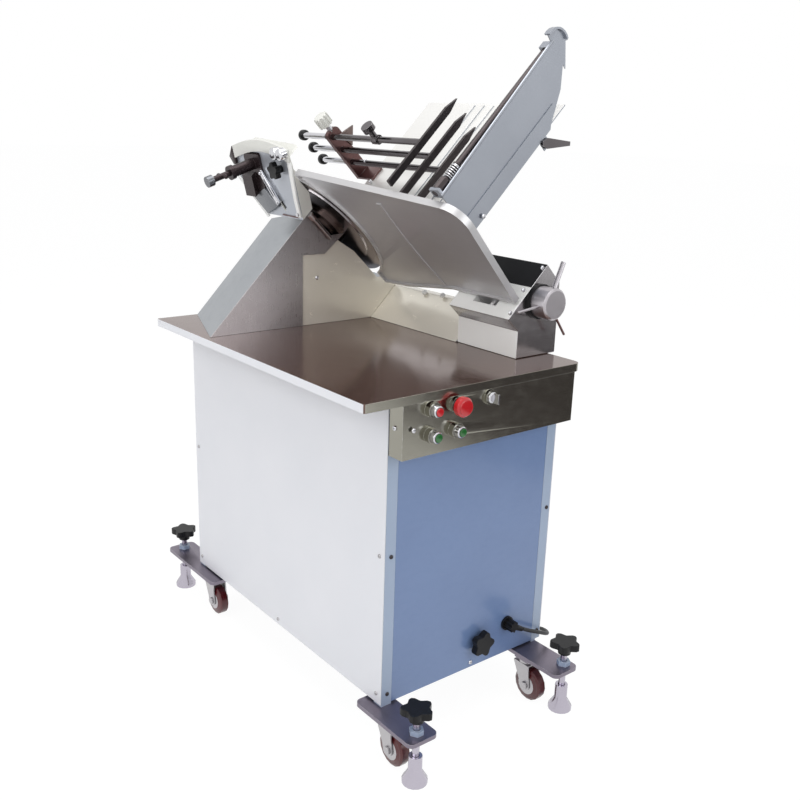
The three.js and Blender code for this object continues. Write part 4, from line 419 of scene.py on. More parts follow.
def grain_group():
    """Fine grain, drawn out along the way the metal was brushed, or even in all directions."""
    inputs = [("Stretch", "NodeSocketVector", START_STRETCH)]
    group, start, end = new_group("surface grain", inputs, ["Grain"])
    grain = stretched_noise(group, start.outputs["Stretch"], detail=4, roughness=0.6)
    group.links.new(ranged(group, grain, low=0.3, high=0.7), end.inputs["Grain"])
    return group


def handling_group():
    """Soft cloudy marks of handling and cleaning, and smaller smears in them."""
    group, _, end = new_group("handling marks", [], ["Clouds", "Smears"])
    clouds = stretched_noise(group, CLOUD_STRETCH, detail=3, roughness=0.5)
    smears = stretched_noise(group, SMEAR_STRETCH, detail=5, roughness=0.65)
    group.links.new(ranged(group, clouds, low=0.35, high=0.65), end.inputs["Clouds"])
    group.links.new(ranged(group, smears, low=0.48, high=0.72), end.inputs["Smears"])
    return group


def wear_group():
    """Worn edges, found where the surface's rounded normal leaves its flat one."""
    inputs = [("Radius", "NodeSocketFloat", START_RADIUS)]
    group, start, end = new_group("edge wear", inputs, ["Wear"])
    rounded = add_node(group, "ShaderNodeBevel", samples=WEAR_SAMPLES)
    flat = add_node(group, "ShaderNodeNewGeometry")
    same = add_node(group, "ShaderNodeVectorMath", operation="DOT_PRODUCT")
    group.links.new(start.outputs["Radius"], rounded.inputs["Radius"])
    group.links.new(rounded.outputs[0], same.inputs[0])
    group.links.new(flat.outputs["Normal"], same.inputs[1])
    edge = ranged(group, same.outputs["Value"], low=0.98, high=0.80)
    scratches = stretched_noise(group, WEAR_STRETCH, detail=4, roughness=0.6)
    broken = ranged(group, scratches, low=0.38, high=0.62)
    group.links.new(computed(group, "MULTIPLY", edge, broken), end.inputs["Wear"])
    return group


GRAIN = grain_group()
HANDLING = handling_group()
WEAR = wear_group()

# Finishes
CLOUD_SHARE = 0.5
GRAIN_SHARE = 0.35
WEAR_RADIUS = 0.0008
COAT_ROUGHNESS = 0.12
PLAIN_WORN = (225, 225, 225)


def mixed(tree, amount, first, second):
    """A colour between two others, each a fixed colour or a socket."""
    node = add_node(tree, "ShaderNodeMix", data_type="RGBA")
    tree.links.new(amount, node.inputs["Factor"])
    for socket, value in ((node.inputs["A"], first), (node.inputs["B"], second)):
        if isinstance(value, tuple):
            socket.default_value = (*value, 1)
        else:
            tree.links.new(value, socket)
    return node.outputs["Result"]


def tone(red, green, blue):
    """A colour from its values on a screen, 0 to 255."""
    return tuple(((level / 255 + 0.055) / 1.055) ** 2.4 for level in (red, green, blue))


def finish(
    name, colour, shade, metallic, roughness, stretch, depth,
    worn=PLAIN_WORN, coat=0.0, spread=0.05, shine=0.5,
):
    """A finish with grain, handling marks and worn edges, as its own material."""
    material = bpy.data.materials.new(name)
    material.use_nodes = True
    tree = material.node_tree
    shader = tree.nodes["Principled BSDF"]
    shader.inputs["Metallic"].default_value = metallic
    shader.inputs["Coat Weight"].default_value = coat
    shader.inputs["Coat Roughness"].default_value = COAT_ROUGHNESS
    shader.inputs["Specular IOR Level"].default_value = shine
    grain = add_node(tree, "ShaderNodeGroup", node_tree=GRAIN)
    grain.inputs["Stretch"].default_value = stretch
    handling = add_node(tree, "ShaderNodeGroup", node_tree=HANDLING)
    wear = add_node(tree, "ShaderNodeGroup", node_tree=WEAR)
    wear.inputs["Radius"].default_value = WEAR_RADIUS
    cloud_share = computed(tree, "MULTIPLY", handling.outputs["Clouds"], CLOUD_SHARE)
    clouded = mixed(tree, cloud_share, tone(*colour), tone(*shade))
    grain_share = computed(tree, "MULTIPLY", grain.outputs["Grain"], GRAIN_SHARE)
    grained = mixed(tree, grain_share, clouded, tone(*shade))
    coloured = mixed(tree, wear.outputs["Wear"], grained, tone(*worn))
    tree.links.new(coloured, shader.inputs["Base Color"])
    marks = computed(tree, "MULTIPLY", handling.outputs["Smears"], spread)
    streaks = computed(tree, "MULTIPLY", grain.outputs["Grain"], spread)
    base = computed(tree, "ADD", marks, roughness)
    tree.links.new(computed(tree, "ADD", base, streaks), shader.inputs["Roughness"])
    bump = add_node(tree, "ShaderNodeBump")
    bump.inputs["Strength"].default_value = 1
    bump.inputs["Distance"].default_value = depth
    tree.links.new(grain.outputs["Grain"], bump.inputs["Height"])
    tree.links.new(bump.outputs["Normal"], shader.inputs["Normal"])
    return material


# How far the grain is drawn out
ALONG_X = (14, 1500, 1500)
ALONG_Y = (1500, 12, 1500)
UPRIGHT = (1300, 1300, 14)
EVEN = (700, 700, 700)
FINE = (1800, 1800, 1800)

# Each finish: colour, its shade, metallic, roughness, grain, the grain's depth in metres, and what
# else it has
MATERIALS = {
    # The worktop's steel is tinted brown: a painted reflection of brown surroundings.
    "worktop": finish(
        "worktop steel", (112, 88, 80), (96, 74, 67), 0.6, 0.12, ALONG_Y, 1e-6, worn=(228, 222, 218)
    ),
    "casing": finish("tower steel", (156, 160, 165), (142, 147, 153), 1, 0.30, UPRIGHT, 2e-6),
    "cover": finish("cover steel", (182, 178, 180), (166, 162, 164), 1, 0.26, UPRIGHT, 2e-6),
    "gauge": finish("gauge plate steel", (204, 203, 204), (188, 187, 188), 0.6, 0.32, ALONG_Y, 2e-6),
    "chute": finish("chute steel", (240, 239, 236), (226, 225, 223), 0.6, 0.36, ALONG_Y, 2e-6),
    "wall": finish("side wall steel", (166, 170, 178), (146, 150, 158), 1, 0.28, ALONG_Y, 2e-6),
    "control": finish("smoked panel steel", (162, 160, 150), (144, 142, 132), 1, 0.16, ALONG_X, 2e-6),
    "bright": finish(
        "polished steel", (214, 214, 218), (196, 196, 200), 1, 0.10, FINE, 1e-6, spread=0.03
    ),
    "bell": finish("turned foot steel", (196, 191, 202), (174, 169, 181), 1, 0.16, EVEN, 4e-6),
    "blade": finish("blade steel", (172, 164, 164), (154, 146, 147), 1, 0.20, FINE, 1e-6, spread=0.04),
    # Polished steel darkened as a painted reflection of dark surroundings, for the rods and the latch
    # lever.
    "rod": finish(
        "dark polished rod", (112, 108, 110), (92, 88, 90), 1, 0.14, ALONG_Y, 1e-6, spread=0.03
    ),
    "dark": finish(
        "blackened steel", (120, 106, 102), (96, 85, 82), 1, 0.26, EVEN, 8e-6, worn=(150, 148, 146)
    ),
    "black_steel": finish(
        "black oxide steel", (84, 78, 78), (66, 60, 62), 1, 0.28, EVEN, 6e-6, worn=(110, 110, 112)
    ),
    "cast": finish("polished casting", (184, 181, 183), (166, 163, 165), 1, 0.18, EVEN, 8e-6),
    "dial": finish("dial casting", (188, 184, 188), (170, 166, 170), 1, 0.30, EVEN, 8e-6),
    # Near white casting for the clips, also used as painted light on the gauge housing and as painted
    # highlights on the shroud.
    "satin": finish("pale satin casting with painted light", (250, 250, 247), (240, 240, 237), 0, 0.40, EVEN, 8e-6),
    # A lighter copy of the casting for faces that turn to the lamps: painted light.
    "painted_light_side": finish(
        "casting sides with painted light", (248, 243, 230), (232, 227, 214), 0.35, 0.20, EVEN, 6e-6
    ),
    "bracket": finish("brown bracket steel", (112, 86, 84), (88, 66, 66), 1, 0.28, EVEN, 8e-6),
    "white": finish(
        "satin white panel", (232, 233, 237), (225, 227, 232), 0, 0.34, FINE, 3e-6,
        worn=(200, 202, 206), coat=0.1,
    ),
    "face": finish("satin grey face", (186, 190, 197), (170, 174, 182), 0.5, 0.28, EVEN, 6e-6),
    "block": finish("grey block", (128, 130, 134), (106, 108, 113), 0.8, 0.26, EVEN, 8e-6),
    "tube": finish(
        "brown tube", (56, 45, 47), (42, 33, 35), 0.6, 0.24, EVEN, 8e-6, worn=(150, 140, 140)
    ),
    "hood": finish(
        "cream white hood", (228, 228, 222), (216, 216, 208), 0, 0.30, FINE, 4e-6,
        worn=(205, 203, 195), coat=0.3,
    ),
    "blue": finish(
        "blue panel", (116, 140, 182), (108, 131, 173), 0, 0.26, FINE, 3e-6,
        worn=(170, 182, 205), coat=0.4,
    ),
    "post": finish("pale post", (168, 184, 206), (156, 172, 196), 0, 0.30, FINE, 3e-6, coat=0.3),
    "zinc": finish("zinc plated sheet", (196, 194, 196), (174, 172, 174), 1, 0.34, EVEN, 8e-6),
    "foot_plate": finish("foot plate steel", (142, 135, 147), (122, 115, 127), 1, 0.34, EVEN, 1e-5),
    "black": finish(
        "moulded black plastic", (16, 16, 18), (24, 24, 26), 0, 0.32, FINE, 1.6e-5,
        worn=(50, 50, 52), shine=0.25,
    ),
    "tread": finish(
        "dark red tread", (88, 18, 24), (68, 14, 18), 0, 0.30, EVEN, 1.2e-5,
        worn=(150, 84, 80), coat=0.3,
    ),
    "red": finish(
        "red lens", (206, 24, 34), (184, 16, 26), 0, 0.16, FINE, 3e-6, worn=(225, 90, 90), coat=0.6
    ),
    "green": finish(
        "green lens", (30, 112, 44), (22, 92, 36), 0, 0.16, FINE, 3e-6, worn=(90, 160, 100), coat=0.6
    ),
    "rubber": finish(
        "black rubber", (34, 34, 36), (44, 44, 46), 0, 0.5, EVEN, 2e-5, worn=(80, 80, 80)
    ),
}

# The body that each of the frame's nodes rides on, and the corners and rods that repeat
BODIES = frame["record"]["behaviour"]["bodies"]
BODY_OF = {node: body for body, nodes in BODIES.items() for node in nodes}
CORNERS = ["front_left", "front_right", "rear_left", "rear_right"]
RODS = ["divider_rod_1", "divider_rod_2", "divider_rod_3"]

# Finished copies of the frame's pieces: node, finish and the width its edges are rounded off by
DRESSED = [
    ("cabinet_frame", "post", 0.8),
    ("left_side_panel", "white", 0.4),
    ("right_side_panel", "white", 0.4),
    ("front_panel", "blue", 0.4),
    ("rear_panel", "white", 0.4),
    ("front_panel_knob", "black", 1.2),
    ("worktop", "worktop", 0.5),
    ("control_box", "control", 1.2),
    ("stop_button", "bright", 0.5),
    ("start_button", "bright", 0.5),
    ("carriage_button", "bright", 0.5),
    ("emergency_stop", "bright", 0.5),
    ("key_switch", "bright", 0.4),
    ("head_base", "cast", 1.5),
    ("gauge_housing", "cast", 1.5),
    ("thickness_dial", "dial", 0.6),
    ("tower_casing", "casing", 0.8),
    ("tower_cover", "cover", 0.6),
    ("blade", "blade", 0.2),
    ("blade_spindle", "dark", 0.4),
    ("blade_motor", "dark", 1.2),
    ("motor_bracket", "zinc", 0.5),
    ("drive_belt", "rubber", 0.4),
    ("gauge_plate", "gauge", 1.2),
    ("slide_shaft", "bright", 0.5),
    ("carriage_arm", "cast", 1.5),
    ("chute_floor", "chute", 0.4),
    ("chute_side_wall", "wall", 0.5),
    ("guide_rod", "black_steel", 0.3),
    ("latch_lever", "rod", 0.5),
    ("divider_bracket", "bracket", 0.8),
    *[(rod, "rod", 0.3) for rod in RODS],
    ("blade_shroud", "hood", 0.6),
    ("sharpener_body", "tube", 0.6),
    ("sharpener_rod", "block", 0.3),
    ("sharpener_knob", "black", 0.6),
    ("cable_gland", "black", 0.6),
    ("mains_plug", "black", 0.8),
    *[(f"{corner}_caster_fork", "zinc", 0.4) for corner in CORNERS],
    *[(f"{corner}_caster_wheel", "tread", 0.5) for corner in CORNERS],
    *[(f"{corner}_foot_pad", "bell", 0.5) for corner in CORNERS],
    *[(f"{corner}_foot_screw", "black", 0.8) for corner in CORNERS],
]
MERGE_REACH = 2e-5
FLAT_ANGLE = radians(0.6)
SHARP_ANGLE = radians(34)

# Angles under which neighbouring faces of a piece shade as one
USUAL_SMOOTH = radians(32)
SMOOTH_ANGLES = {"blade": radians(8), "blade_spindle": radians(16)}

# Flat cuts that part one finish from another: a place and the way the cut faces
SHADED_CHEEKS_FROM = 852.0
ROD_BRIGHT_FROM = 520.0
FINISH_CUTS = {
    "gauge_housing": (at(0, 0, SHADED_CHEEKS_FROM), (0, 0, 1)),
    **{rod: (at(0, ROD_BRIGHT_FROM, 0), (0, 1, 0)) for rod in RODS},
}


def only(piece):
    bpy.ops.object.select_all(action="DESELECT")
    piece.select_set(True)
    bpy.context.view_layer.objects.active = piece


def merged(piece, reach, flat_angle):
    """Merges a piece's triangles into whole faces that point outwards, and leaves it in editing."""
    only(piece)
    bpy.ops.object.mode_set(mode="EDIT")
    bpy.ops.mesh.select_all(action="SELECT")
    bpy.ops.mesh.remove_doubles(threshold=reach)
    bpy.ops.mesh.dissolve_limited(angle_limit=flat_angle)
    bpy.ops.mesh.normals_make_consistent(inside=False)


def round_all(piece, offset, segments=2, harden=False):
    """Rounds off every sharp edge, by a width in millimetres."""
    bevel = piece.modifiers.new("rounded", "BEVEL")
    bevel.width = offset * MM
    bevel.segments = segments
    bevel.limit_method = "ANGLE"
    bevel.angle_limit = SHARP_ANGLE
    bevel.harden_normals = harden
    only(piece)
    bpy.ops.object.modifier_apply(modifier=bevel.name)
    return piece


def dressed(node, kind, edge):
    """A merged copy of a node, with its edges rounded off and its finish on it."""
    piece = new_object(f"{node}_finished", frame["nodes"][node].data.copy())
    merged(piece, MERGE_REACH, FLAT_ANGLE)
    if node in FINISH_CUTS:
        place, way = FINISH_CUTS[node]
        bpy.ops.mesh.select_all(action="SELECT")
        bpy.ops.mesh.bisect(plane_co=place, plane_no=way)
    bpy.ops.object.mode_set(mode="OBJECT")
    bpy.ops.object.shade_smooth_by_angle(angle=SMOOTH_ANGLES.get(node, USUAL_SMOOTH))
    round_all(piece, edge, harden=True)
    piece.data.materials.clear()
    piece.data.materials.append(MATERIALS[kind])
    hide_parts(node)
    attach(piece, BODY_OF[node])
    return piece


PIECES = {node: dressed(node, kind, edge) for node, kind, edge in DRESSED}

# Ways that faces point, and how nearly a face has to point that way
FRONT = Vector((0, -1, 0))
LEFT = Vector((-1, 0, 0))
UP = Vector((0, 0, 1))
UP_BLADE = head_way(0, 0, 1)
LEAN = 0.6
SQUARE = 0.9

# The shroud's face leans: v runs to the back and rise up the face from its foot
FACE_LEAN = radians(31)
FACE_OUT = head_way(-cos(FACE_LEAN), 0, sin(FACE_LEAN))
FACE_UP = head_way(sin(FACE_LEAN), 0, cos(FACE_LEAN))
FACE_FOOT = Vector((-58.4, 0.0, 71.0))

# Where one finish of a piece ends and the next begins
FOOT_PLATE_TOP = 102.5
SHANK_TOP = 126.0
WHEEL_AXLES = {"front": (-38.0, 37.5), "rear": (650.0, 37.5)}
HUB = (0.0, 21.5)
CAP_FRONT = -60.5
MUSHROOM_BACK = -52.0
MUSHROOM_FRONT = -65.5
HOUSING_INNER_Y = 100.0
DIAL_RING = (35.0, 45.0)
THIN_SPOKE_TO = 794.0
BLADE_SHADED_HUB = (0.0, 60.0)
BLADE_HIGHLIGHT_RING = (118.0, 124.0)
ROD_BAR_TO = 213.0
ROD_BALL_FROM = 600.0
SHARPENER_END_TO = 15.0


def paint_faces(node, kind, passes):
    """Gives another finish to those faces of a finished piece that pass the test."""
    piece = PIECES[node]
    number = len(piece.data.materials)
    piece.data.materials.append(MATERIALS[kind])
    for face in piece.data.polygons:
        if passes(piece, face):
            face.material_index = number


def paint(node, kind, test):
    """Paints the faces whose middle and direction pass the test."""
    paint_faces(node, kind, lambda piece, face: test(in_mm(face.center), face.normal))


def paint_rings(node, kind, measure, low, high):
    """Paints the faces whose corners all lie between two distances, by this measure."""
    reach = [measure(in_mm(corner.co)) for corner in PIECES[node].data.vertices]
    paint_faces(node, kind, lambda piece, face: all(low <= reach[spot] <= high for spot in face.vertices))


def from_axle(y, z):
    """Measures how far a place lies from an axle along X."""
    return lambda place: Vector((place.y - y, place.z - z)).length


def from_blade_axis(place):
    """How far a place lies from the blade's axis, in millimetres."""
    _, back, up = HEAD_TURN.transposed() @ (place - HEAD_MIDDLE)
    return Vector((back, up)).length


def paint_head():
    # The blade's hub is painted dark as painted shade, and its ground ring is painted light as a painted
    # highlight.
    paint_rings("blade", "dark", from_blade_axis, *BLADE_SHADED_HUB)
    paint_rings("blade", "bright", from_blade_axis, *BLADE_HIGHLIGHT_RING)
    paint("blade_shroud", "face", lambda place, normal: normal.dot(FACE_OUT) > SQUARE)
    paint("sharpener_rod", "tube", lambda place, normal: place.x > SHARPENER_END_TO)
    paint("chute_floor", "wall", lambda place, normal: normal.dot(UP_BLADE) < SQUARE)
    # Faces of the head base turned left or up, and the tower casing's front faces, are painted lighter as
    # painted light.
    paint("head_base", "painted_light_side", lambda place, normal: max(normal.dot(LEFT), normal.dot(UP)) > LEAN)
    paint("tower_casing", "painted_light_side", lambda place, normal: normal.dot(FRONT) > LEAN)
    for rod in RODS:
        paint(rod, "bright", lambda place, normal: place.y > ROD_BRIGHT_FROM)
        paint(rod, "black", lambda place, normal: place.y > ROD_BALL_FROM)
        paint(rod, "black_steel", lambda place, normal: place.y < ROD_BAR_TO)


def inner_front(place, normal):
    return normal.dot(FRONT) > SQUARE and place.y > HOUSING_INNER_Y


def shaded_cheek(place, normal):
    return normal.dot(UP_BLADE) > SQUARE and place.z > SHADED_CHEEKS_FROM


def paint_housing():
    # The housing's faces turned left or up the blade, and its inner front, are painted near white as
    # painted light; the upper cheeks are painted black as painted shade.
    paint("gauge_housing", "satin", lambda place, normal: normal.dot(LEFT) > SQUARE)
    paint("gauge_housing", "satin", lambda place, normal: normal.dot(UP_BLADE) > SQUARE)
    paint("gauge_housing", "satin", inner_front)
    paint("gauge_housing", "black", shaded_cheek)
    paint("thickness_dial", "bracket", lambda place, normal: place.z < THIN_SPOKE_TO)
    paint_rings("thickness_dial", "black", lambda place: place.y, *DIAL_RING)


def paint_panels():
    # The worktop's left edge is painted white as painted light, and its front edge takes the darker panel
    # steel as painted shade.
    paint("worktop", "white", lambda place, normal: normal.dot(LEFT) > SQUARE)
    paint("worktop", "control", lambda place, normal: normal.dot(FRONT) > SQUARE)
    for node in ("stop_button", "start_button", "carriage_button"):
        paint(node, "black", lambda place, normal: place.y < CAP_FRONT)
    paint("emergency_stop", "red", lambda place, normal: place.y < MUSHROOM_BACK)
    # The mushroom's front rim round its lens is painted darker red as painted shade.
    paint("emergency_stop", "tread", lambda place, normal: place.y < MUSHROOM_FRONT)


def paint_feet():
    paint("cabinet_frame", "foot_plate", lambda place, normal: place.z < FOOT_PLATE_TOP)
    for corner in CORNERS:
        axle = WHEEL_AXLES[corner.split("_")[0]]
        paint_rings(f"{corner}_caster_wheel", "zinc", from_axle(*axle), *HUB)
        paint(f"{corner}_foot_screw", "bell", lambda place, normal: place.z < SHANK_TOP)


paint_head()
paint_housing()
paint_panels()
paint_feet()

# Fittings: each is made at the origin, in millimetres, and then put on its place
ROUND_SIDES = 32


def fitted(piece, kind, body):
    """Finishes a new fitting and lets it ride on its body."""
    only(piece)
    bpy.ops.object.shade_smooth_by_angle(angle=USUAL_SMOOTH)
    piece.data.materials.clear()
    piece.data.materials.append(MATERIALS[kind])
    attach(piece, body)
    return piece


def turned(piece, place, turn):
    """Puts a fitting on a place with this turn."""
    piece.matrix_world = Matrix.Translation(place) @ turn.to_4x4()
    only(piece)
    bpy.ops.object.transform_apply(location=True, rotation=True, scale=True)
    return piece


def placed(piece, place, way, spin=0.0):
    """Stands a fitting on a place, its top facing along a direction."""
    turn = Vector(way).to_track_quat("Z", "Y").to_matrix()
    return turned(piece, place, turn @ Matrix.Rotation(spin, 3, "Z"))


def disc(name, radius, height, sides=ROUND_SIDES):
    """An upright cylinder."""
    bpy.ops.object.select_all(action="DESELECT")
    bpy.ops.mesh.primitive_cylinder_add(
        vertices=sides, radius=radius * MM, depth=height * MM, location=(0, 0, height / 2 * MM)
    )
    piece = bpy.context.object
    piece.name = name
    bpy.ops.object.transform_apply(location=True)
    return piece


def bar(name, length, width, height):
    """A flat bar."""
    bpy.ops.object.select_all(action="DESELECT")
    bpy.ops.mesh.primitive_cube_add(size=1, location=(0, 0, height / 2 * MM))
    piece = bpy.context.object
    piece.name = name
    piece.scale = (length * MM, width * MM, height * MM)
    bpy.ops.object.transform_apply(location=True, scale=True)
    return piece


def round_top(piece, offset, segments):
    """Rounds off the edges of the top face."""
    only(piece)
    bpy.ops.object.mode_set(mode="EDIT")
    bpy.ops.mesh.select_mode(type="FACE")
    bpy.ops.mesh.select_all(action="DESELECT")
    bpy.ops.object.mode_set(mode="OBJECT")
    top = max(piece.data.polygons, key=lambda face: face.center.z)
    top.select = True
    bpy.ops.object.mode_set(mode="EDIT")
    bpy.ops.mesh.bevel(offset=offset * MM, segments=segments, affect="EDGES")
    bpy.ops.object.mode_set(mode="OBJECT")
    return piece


def cut(piece, tool):
    """Takes one piece's shape out of another and drops the tool."""
    boolean = piece.modifiers.new("cut", "BOOLEAN")
    boolean.operation = "DIFFERENCE"
    boolean.object = tool
    only(piece)
    bpy.ops.object.modifier_apply(modifier=boolean.name)
    bpy.data.objects.remove(tool)
    return piece


def copies(first, spots, kind, body):
    """Copies a fitting onto each spot, a place and the way it faces."""
    for number, (place, way) in enumerate(spots, start=1):
        piece = new_object(f"{first.name}_{number}", first.data.copy())
        fitted(placed(piece, place, way), kind, body)
    bpy.data.objects.remove(first)


# A screw head's forms, as shares of its radius or height
SCREW_HEIGHT_SHARE = 0.6
SCREW_DOME_SHARE = 0.4
SLOT_DEPTH_SHARE = 0.45
SLOT_LENGTH_SHARE = 1.2
SLOT_WIDTH_SHARE = 0.26


def screw(name, radius, cross=True):
    """A domed screw head with a slot or a cross in it."""
    height = radius * SCREW_HEIGHT_SHARE
    head = round_top(disc(name, radius, height), radius * SCREW_DOME_SHARE, segments=4)
    for spin in (0, pi / 2) if cross else (0,):
        slot = bar("slot", radius * SLOT_LENGTH_SHARE, radius * SLOT_WIDTH_SHARE, height)
        cut(head, placed(slot, (0, 0, height * SLOT_DEPTH_SHARE * MM), UP, spin))
    return head


# Button lenses: name, place, finish, radius and the body it moves with
LENSES = [
    ("stop_lens", (58.2, -61.0, 683.2), "red", 7.6, "stop_push"),
    ("start_lens", (58.2, -61.0, 637.2), "green", 7.6, "start_push"),
    ("carriage_lens", (113.2, -61.0, 637.2), "green", 7.6, "carriage_push"),
    ("emergency_lens", (113.2, -66.0, 683.2), "red", 14.5, "emergency_push"),
]
LENS_HEIGHT = 1.6
LENS_DOME_SHARE = 0.6
LENS_SIDES = 48


def button_lenses():
    for name, place, kind, radius, body in LENSES:
        lens = disc(name, radius, LENS_HEIGHT, LENS_SIDES)
        round_top(lens, LENS_HEIGHT * LENS_DOME_SHARE, segments=4)
        fitted(placed(lens, at(*place), FRONT), kind, body)


# Outlines on the shroud's face, in its v and rise
HOOD_FROM = 166.0
HOOD_TO = -62.0
HOOD_STEPS = 16
HOOD_TOP = (149.0, 17.0)
HOOD_UNDER = (121.0, 19.0)
RIM = [(-62, 127), (-60, 86), (-58, 43), (-60, 6), (-48, 6), (-46, 43), (-48, 86), (-50, 124)]
EDGE_STRIP = [(180, 91), (74, -2), (82, -6), (181, 80)]
BLOCK = [(113.7, 39.6), (61, 61.5), (18, 25.5), (69, 5)]
SHADED_WEDGE = [(166, 108), (178, 106), (191, 124), (170, 148), (166, 146)]
SLOT = [(12, 33), (9, 35), (-2, 22), (1, 20)]
SEAM = [(18, 7), (-45, 6), (-45, 3), (18, 4)]


def arched(foot, arch):
    """Points on the hood's top or under edge, which arches from its foot height by its rise."""
    shares = [step / HOOD_STEPS for step in range(HOOD_STEPS + 1)]
    return [(HOOD_FROM + (HOOD_TO - HOOD_FROM) * share, foot + arch * sin(pi * share)) for share in shares]


# Plates on the shroud's face: name, outline, thickness, width of the rounded edge and finish
FACE_PLATES = [
    ("hood_lip", arched(*HOOD_TOP) + arched(*HOOD_UNDER)[::-1], 7, 2.0, "hood"),
    # The rim and the edge strip are near white as painted highlights.
    ("shroud_rim", RIM, 5, 1.5, "satin"),
    ("shroud_edge_strip", EDGE_STRIP, 3, 0.8, "satin"),
    ("shroud_block", BLOCK, 9, 1.5, "block"),
    # The wedge and the slot are dark plates standing in for the shade in openings: painted shade.
    ("hood_wedge_shade", SHADED_WEDGE, 6, 1.0, "tube"),
    ("shroud_slot_shade", SLOT, 1, 0, "black"),
    ("shroud_seam", SEAM, 1.5, 0, "bracket"),
]
PLATE_STAND = 1.9
PLATE_MERGE_REACH = 1e-6
PLATE_FLAT_ANGLE = radians(1)


def on_face(v, rise, stand):
    """A place on the shroud's face, in metres."""
    return head_at(*(FACE_FOOT + Vector((0, v, 0)))) + (FACE_UP * rise + FACE_OUT * stand) * MM


def face_plate(name, outline, thick, edge, kind):
    """A plate of this outline on the shroud's face, its edges rounded off."""
    curve = bpy.data.curves.new(name, "CURVE")
    curve.dimensions = "2D"
    curve.fill_mode = "BOTH"
    curve.extrude = thick / 2 * MM
    spline = curve.splines.new("POLY")
    spline.points.add(len(outline) - 1)
    spline.use_cyclic_u = True
    for knot, (v, rise) in zip(spline.points, outline):
        knot.co = (-v * MM, rise * MM, 0, 1)
    only(new_object(name, curve))
    bpy.ops.object.convert(target="MESH")
    piece = bpy.context.object
    merged(piece, PLATE_MERGE_REACH, PLATE_FLAT_ANGLE)
    bpy.ops.object.mode_set(mode="OBJECT")
    if edge:
        round_all(piece, edge)
    turn = Matrix((Vector((0, -1, 0)), FACE_UP, FACE_OUT)).transposed()
    fitted(turned(piece, on_face(0, 0, PLATE_STAND + thick / 2), turn), kind, "base")


# The slotted lever on the shroud's face, between two screws
LEVER_SIZE = (86.0, 13.0, 5.0)
LEVER_EDGE = 1.6
LEVER_SLOT_SIZE = (44.0, 4.0, 12.0)
LEVER_SLOT_FOOT = -3.0
LEVER_ENDS = [(64.0, 94.0), (18.0, 34.0)]
LEVER_STAND = 5.5
LEVER_SCREW_RADIUS = 4.0
LEVER_SCREW_STAND = 10.6


def honing_lever():
    lever = round_all(bar("honing_lever", *LEVER_SIZE), LEVER_EDGE)
    cut(lever, placed(bar("lever_slot", *LEVER_SLOT_SIZE), (0, 0, LEVER_SLOT_FOOT * MM), UP))
    top, foot = [on_face(*end, LEVER_STAND) for end in LEVER_ENDS]
    way = (top - foot).normalized()
    turn = Matrix((way, FACE_OUT.cross(way), FACE_OUT)).transposed()
    fitted(turned(lever, (top + foot) / 2, turn), "bright", "base")


# The hood's round clips and the bolt at the foot of the rim: places in v, rise and stand
KNUCKLES = [(-28.0, 142.0, 8.8), (-50.0, 141.0, 8.8)]
KNUCKLE_RADIUS = 13.0
KNUCKLE_HEIGHT = 15.0
KNUCKLE_DOME = 4.0
RIM_BOLT = (-53.0, 13.0, 6.8)
RIM_BOLT_RADIUS = 4.5
RIM_BOLT_HEIGHT = 4.0
HEXAGON = 6


def shroud_fasteners():
    knuckle = round_top(disc("hood_knuckle", KNUCKLE_RADIUS, KNUCKLE_HEIGHT), KNUCKLE_DOME, segments=4)
    copies(knuckle, [(on_face(*spot), FACE_OUT) for spot in KNUCKLES], "bright", "base")
    lever_spots = [(on_face(*end, LEVER_SCREW_STAND), FACE_OUT) for end in LEVER_ENDS]
    copies(screw("lever_screw", LEVER_SCREW_RADIUS), lever_spots, "bright", "base")
    bolt = disc("rim_bolt", RIM_BOLT_RADIUS, RIM_BOLT_HEIGHT, HEXAGON)
    copies(bolt, [(on_face(*RIM_BOLT), FACE_OUT)], "bright", "base")


# Screws that hold the panels
PANEL_SCREW_RADIUS = 4.0
SCREW_ROWS = (126.0, 406.0)
POST_SCREW_X = (11.0, 409.5)
FRONT_POST_Y = -0.1
REAR_POST_Y = 727.1
SIDE_SCREW_Y = (14.0, 713.0)
LEFT_PANEL_X = -3.6
RIGHT_PANEL_X = 420.0
LOW_SCREW = (363.5, 118.0)


def post_screws():
    spots = [(at(x, FRONT_POST_Y, z), FRONT) for x in POST_SCREW_X for z in SCREW_ROWS]
    spots += [(at(x, REAR_POST_Y, z), -FRONT) for x in POST_SCREW_X for z in SCREW_ROWS]
    copies(screw("post_screw", PANEL_SCREW_RADIUS), spots, "black_steel", "base")


def side_panel_screws():
    spots = [(at(LEFT_PANEL_X, y, z), LEFT) for y in SIDE_SCREW_Y for z in SCREW_ROWS]
    spots += [(at(LEFT_PANEL_X, *LOW_SCREW), LEFT)]
    spots += [(at(RIGHT_PANEL_X, y, z), -LEFT) for y in SIDE_SCREW_Y for z in SCREW_ROWS]
    copies(screw("side_panel_screw", PANEL_SCREW_RADIUS), spots, "zinc", "base")


# Bright screws on the tower's cover, the housing, the control box and the front panel
SHEET_SCREW_RADIUS = 4.5
SHEET_SCREWS = [
    ((176.3, 492.7, 820.0), FRONT),
    ((393.8, 45.0, 887.5), FRONT),
    ((346.2, 45.0, 849.2), FRONT),
    ((315.4, 45.0, 808.1), FRONT),
    ((18.4, -41.0, 653.0), FRONT),
    ((-1.8, -16.3, 654.0), LEFT),
    ((220.6, 0.2, 117.1), FRONT),
]

# Screws on the carriage, in the head's u, v and w
WALL_SCREW = (44.1, -502.8, 34.9)
BRACKET_SCREWS = [(109.5, -118.0, 77.2), (89.8, -118.0, 37.7), (103.6, -118.0, 17.4)]


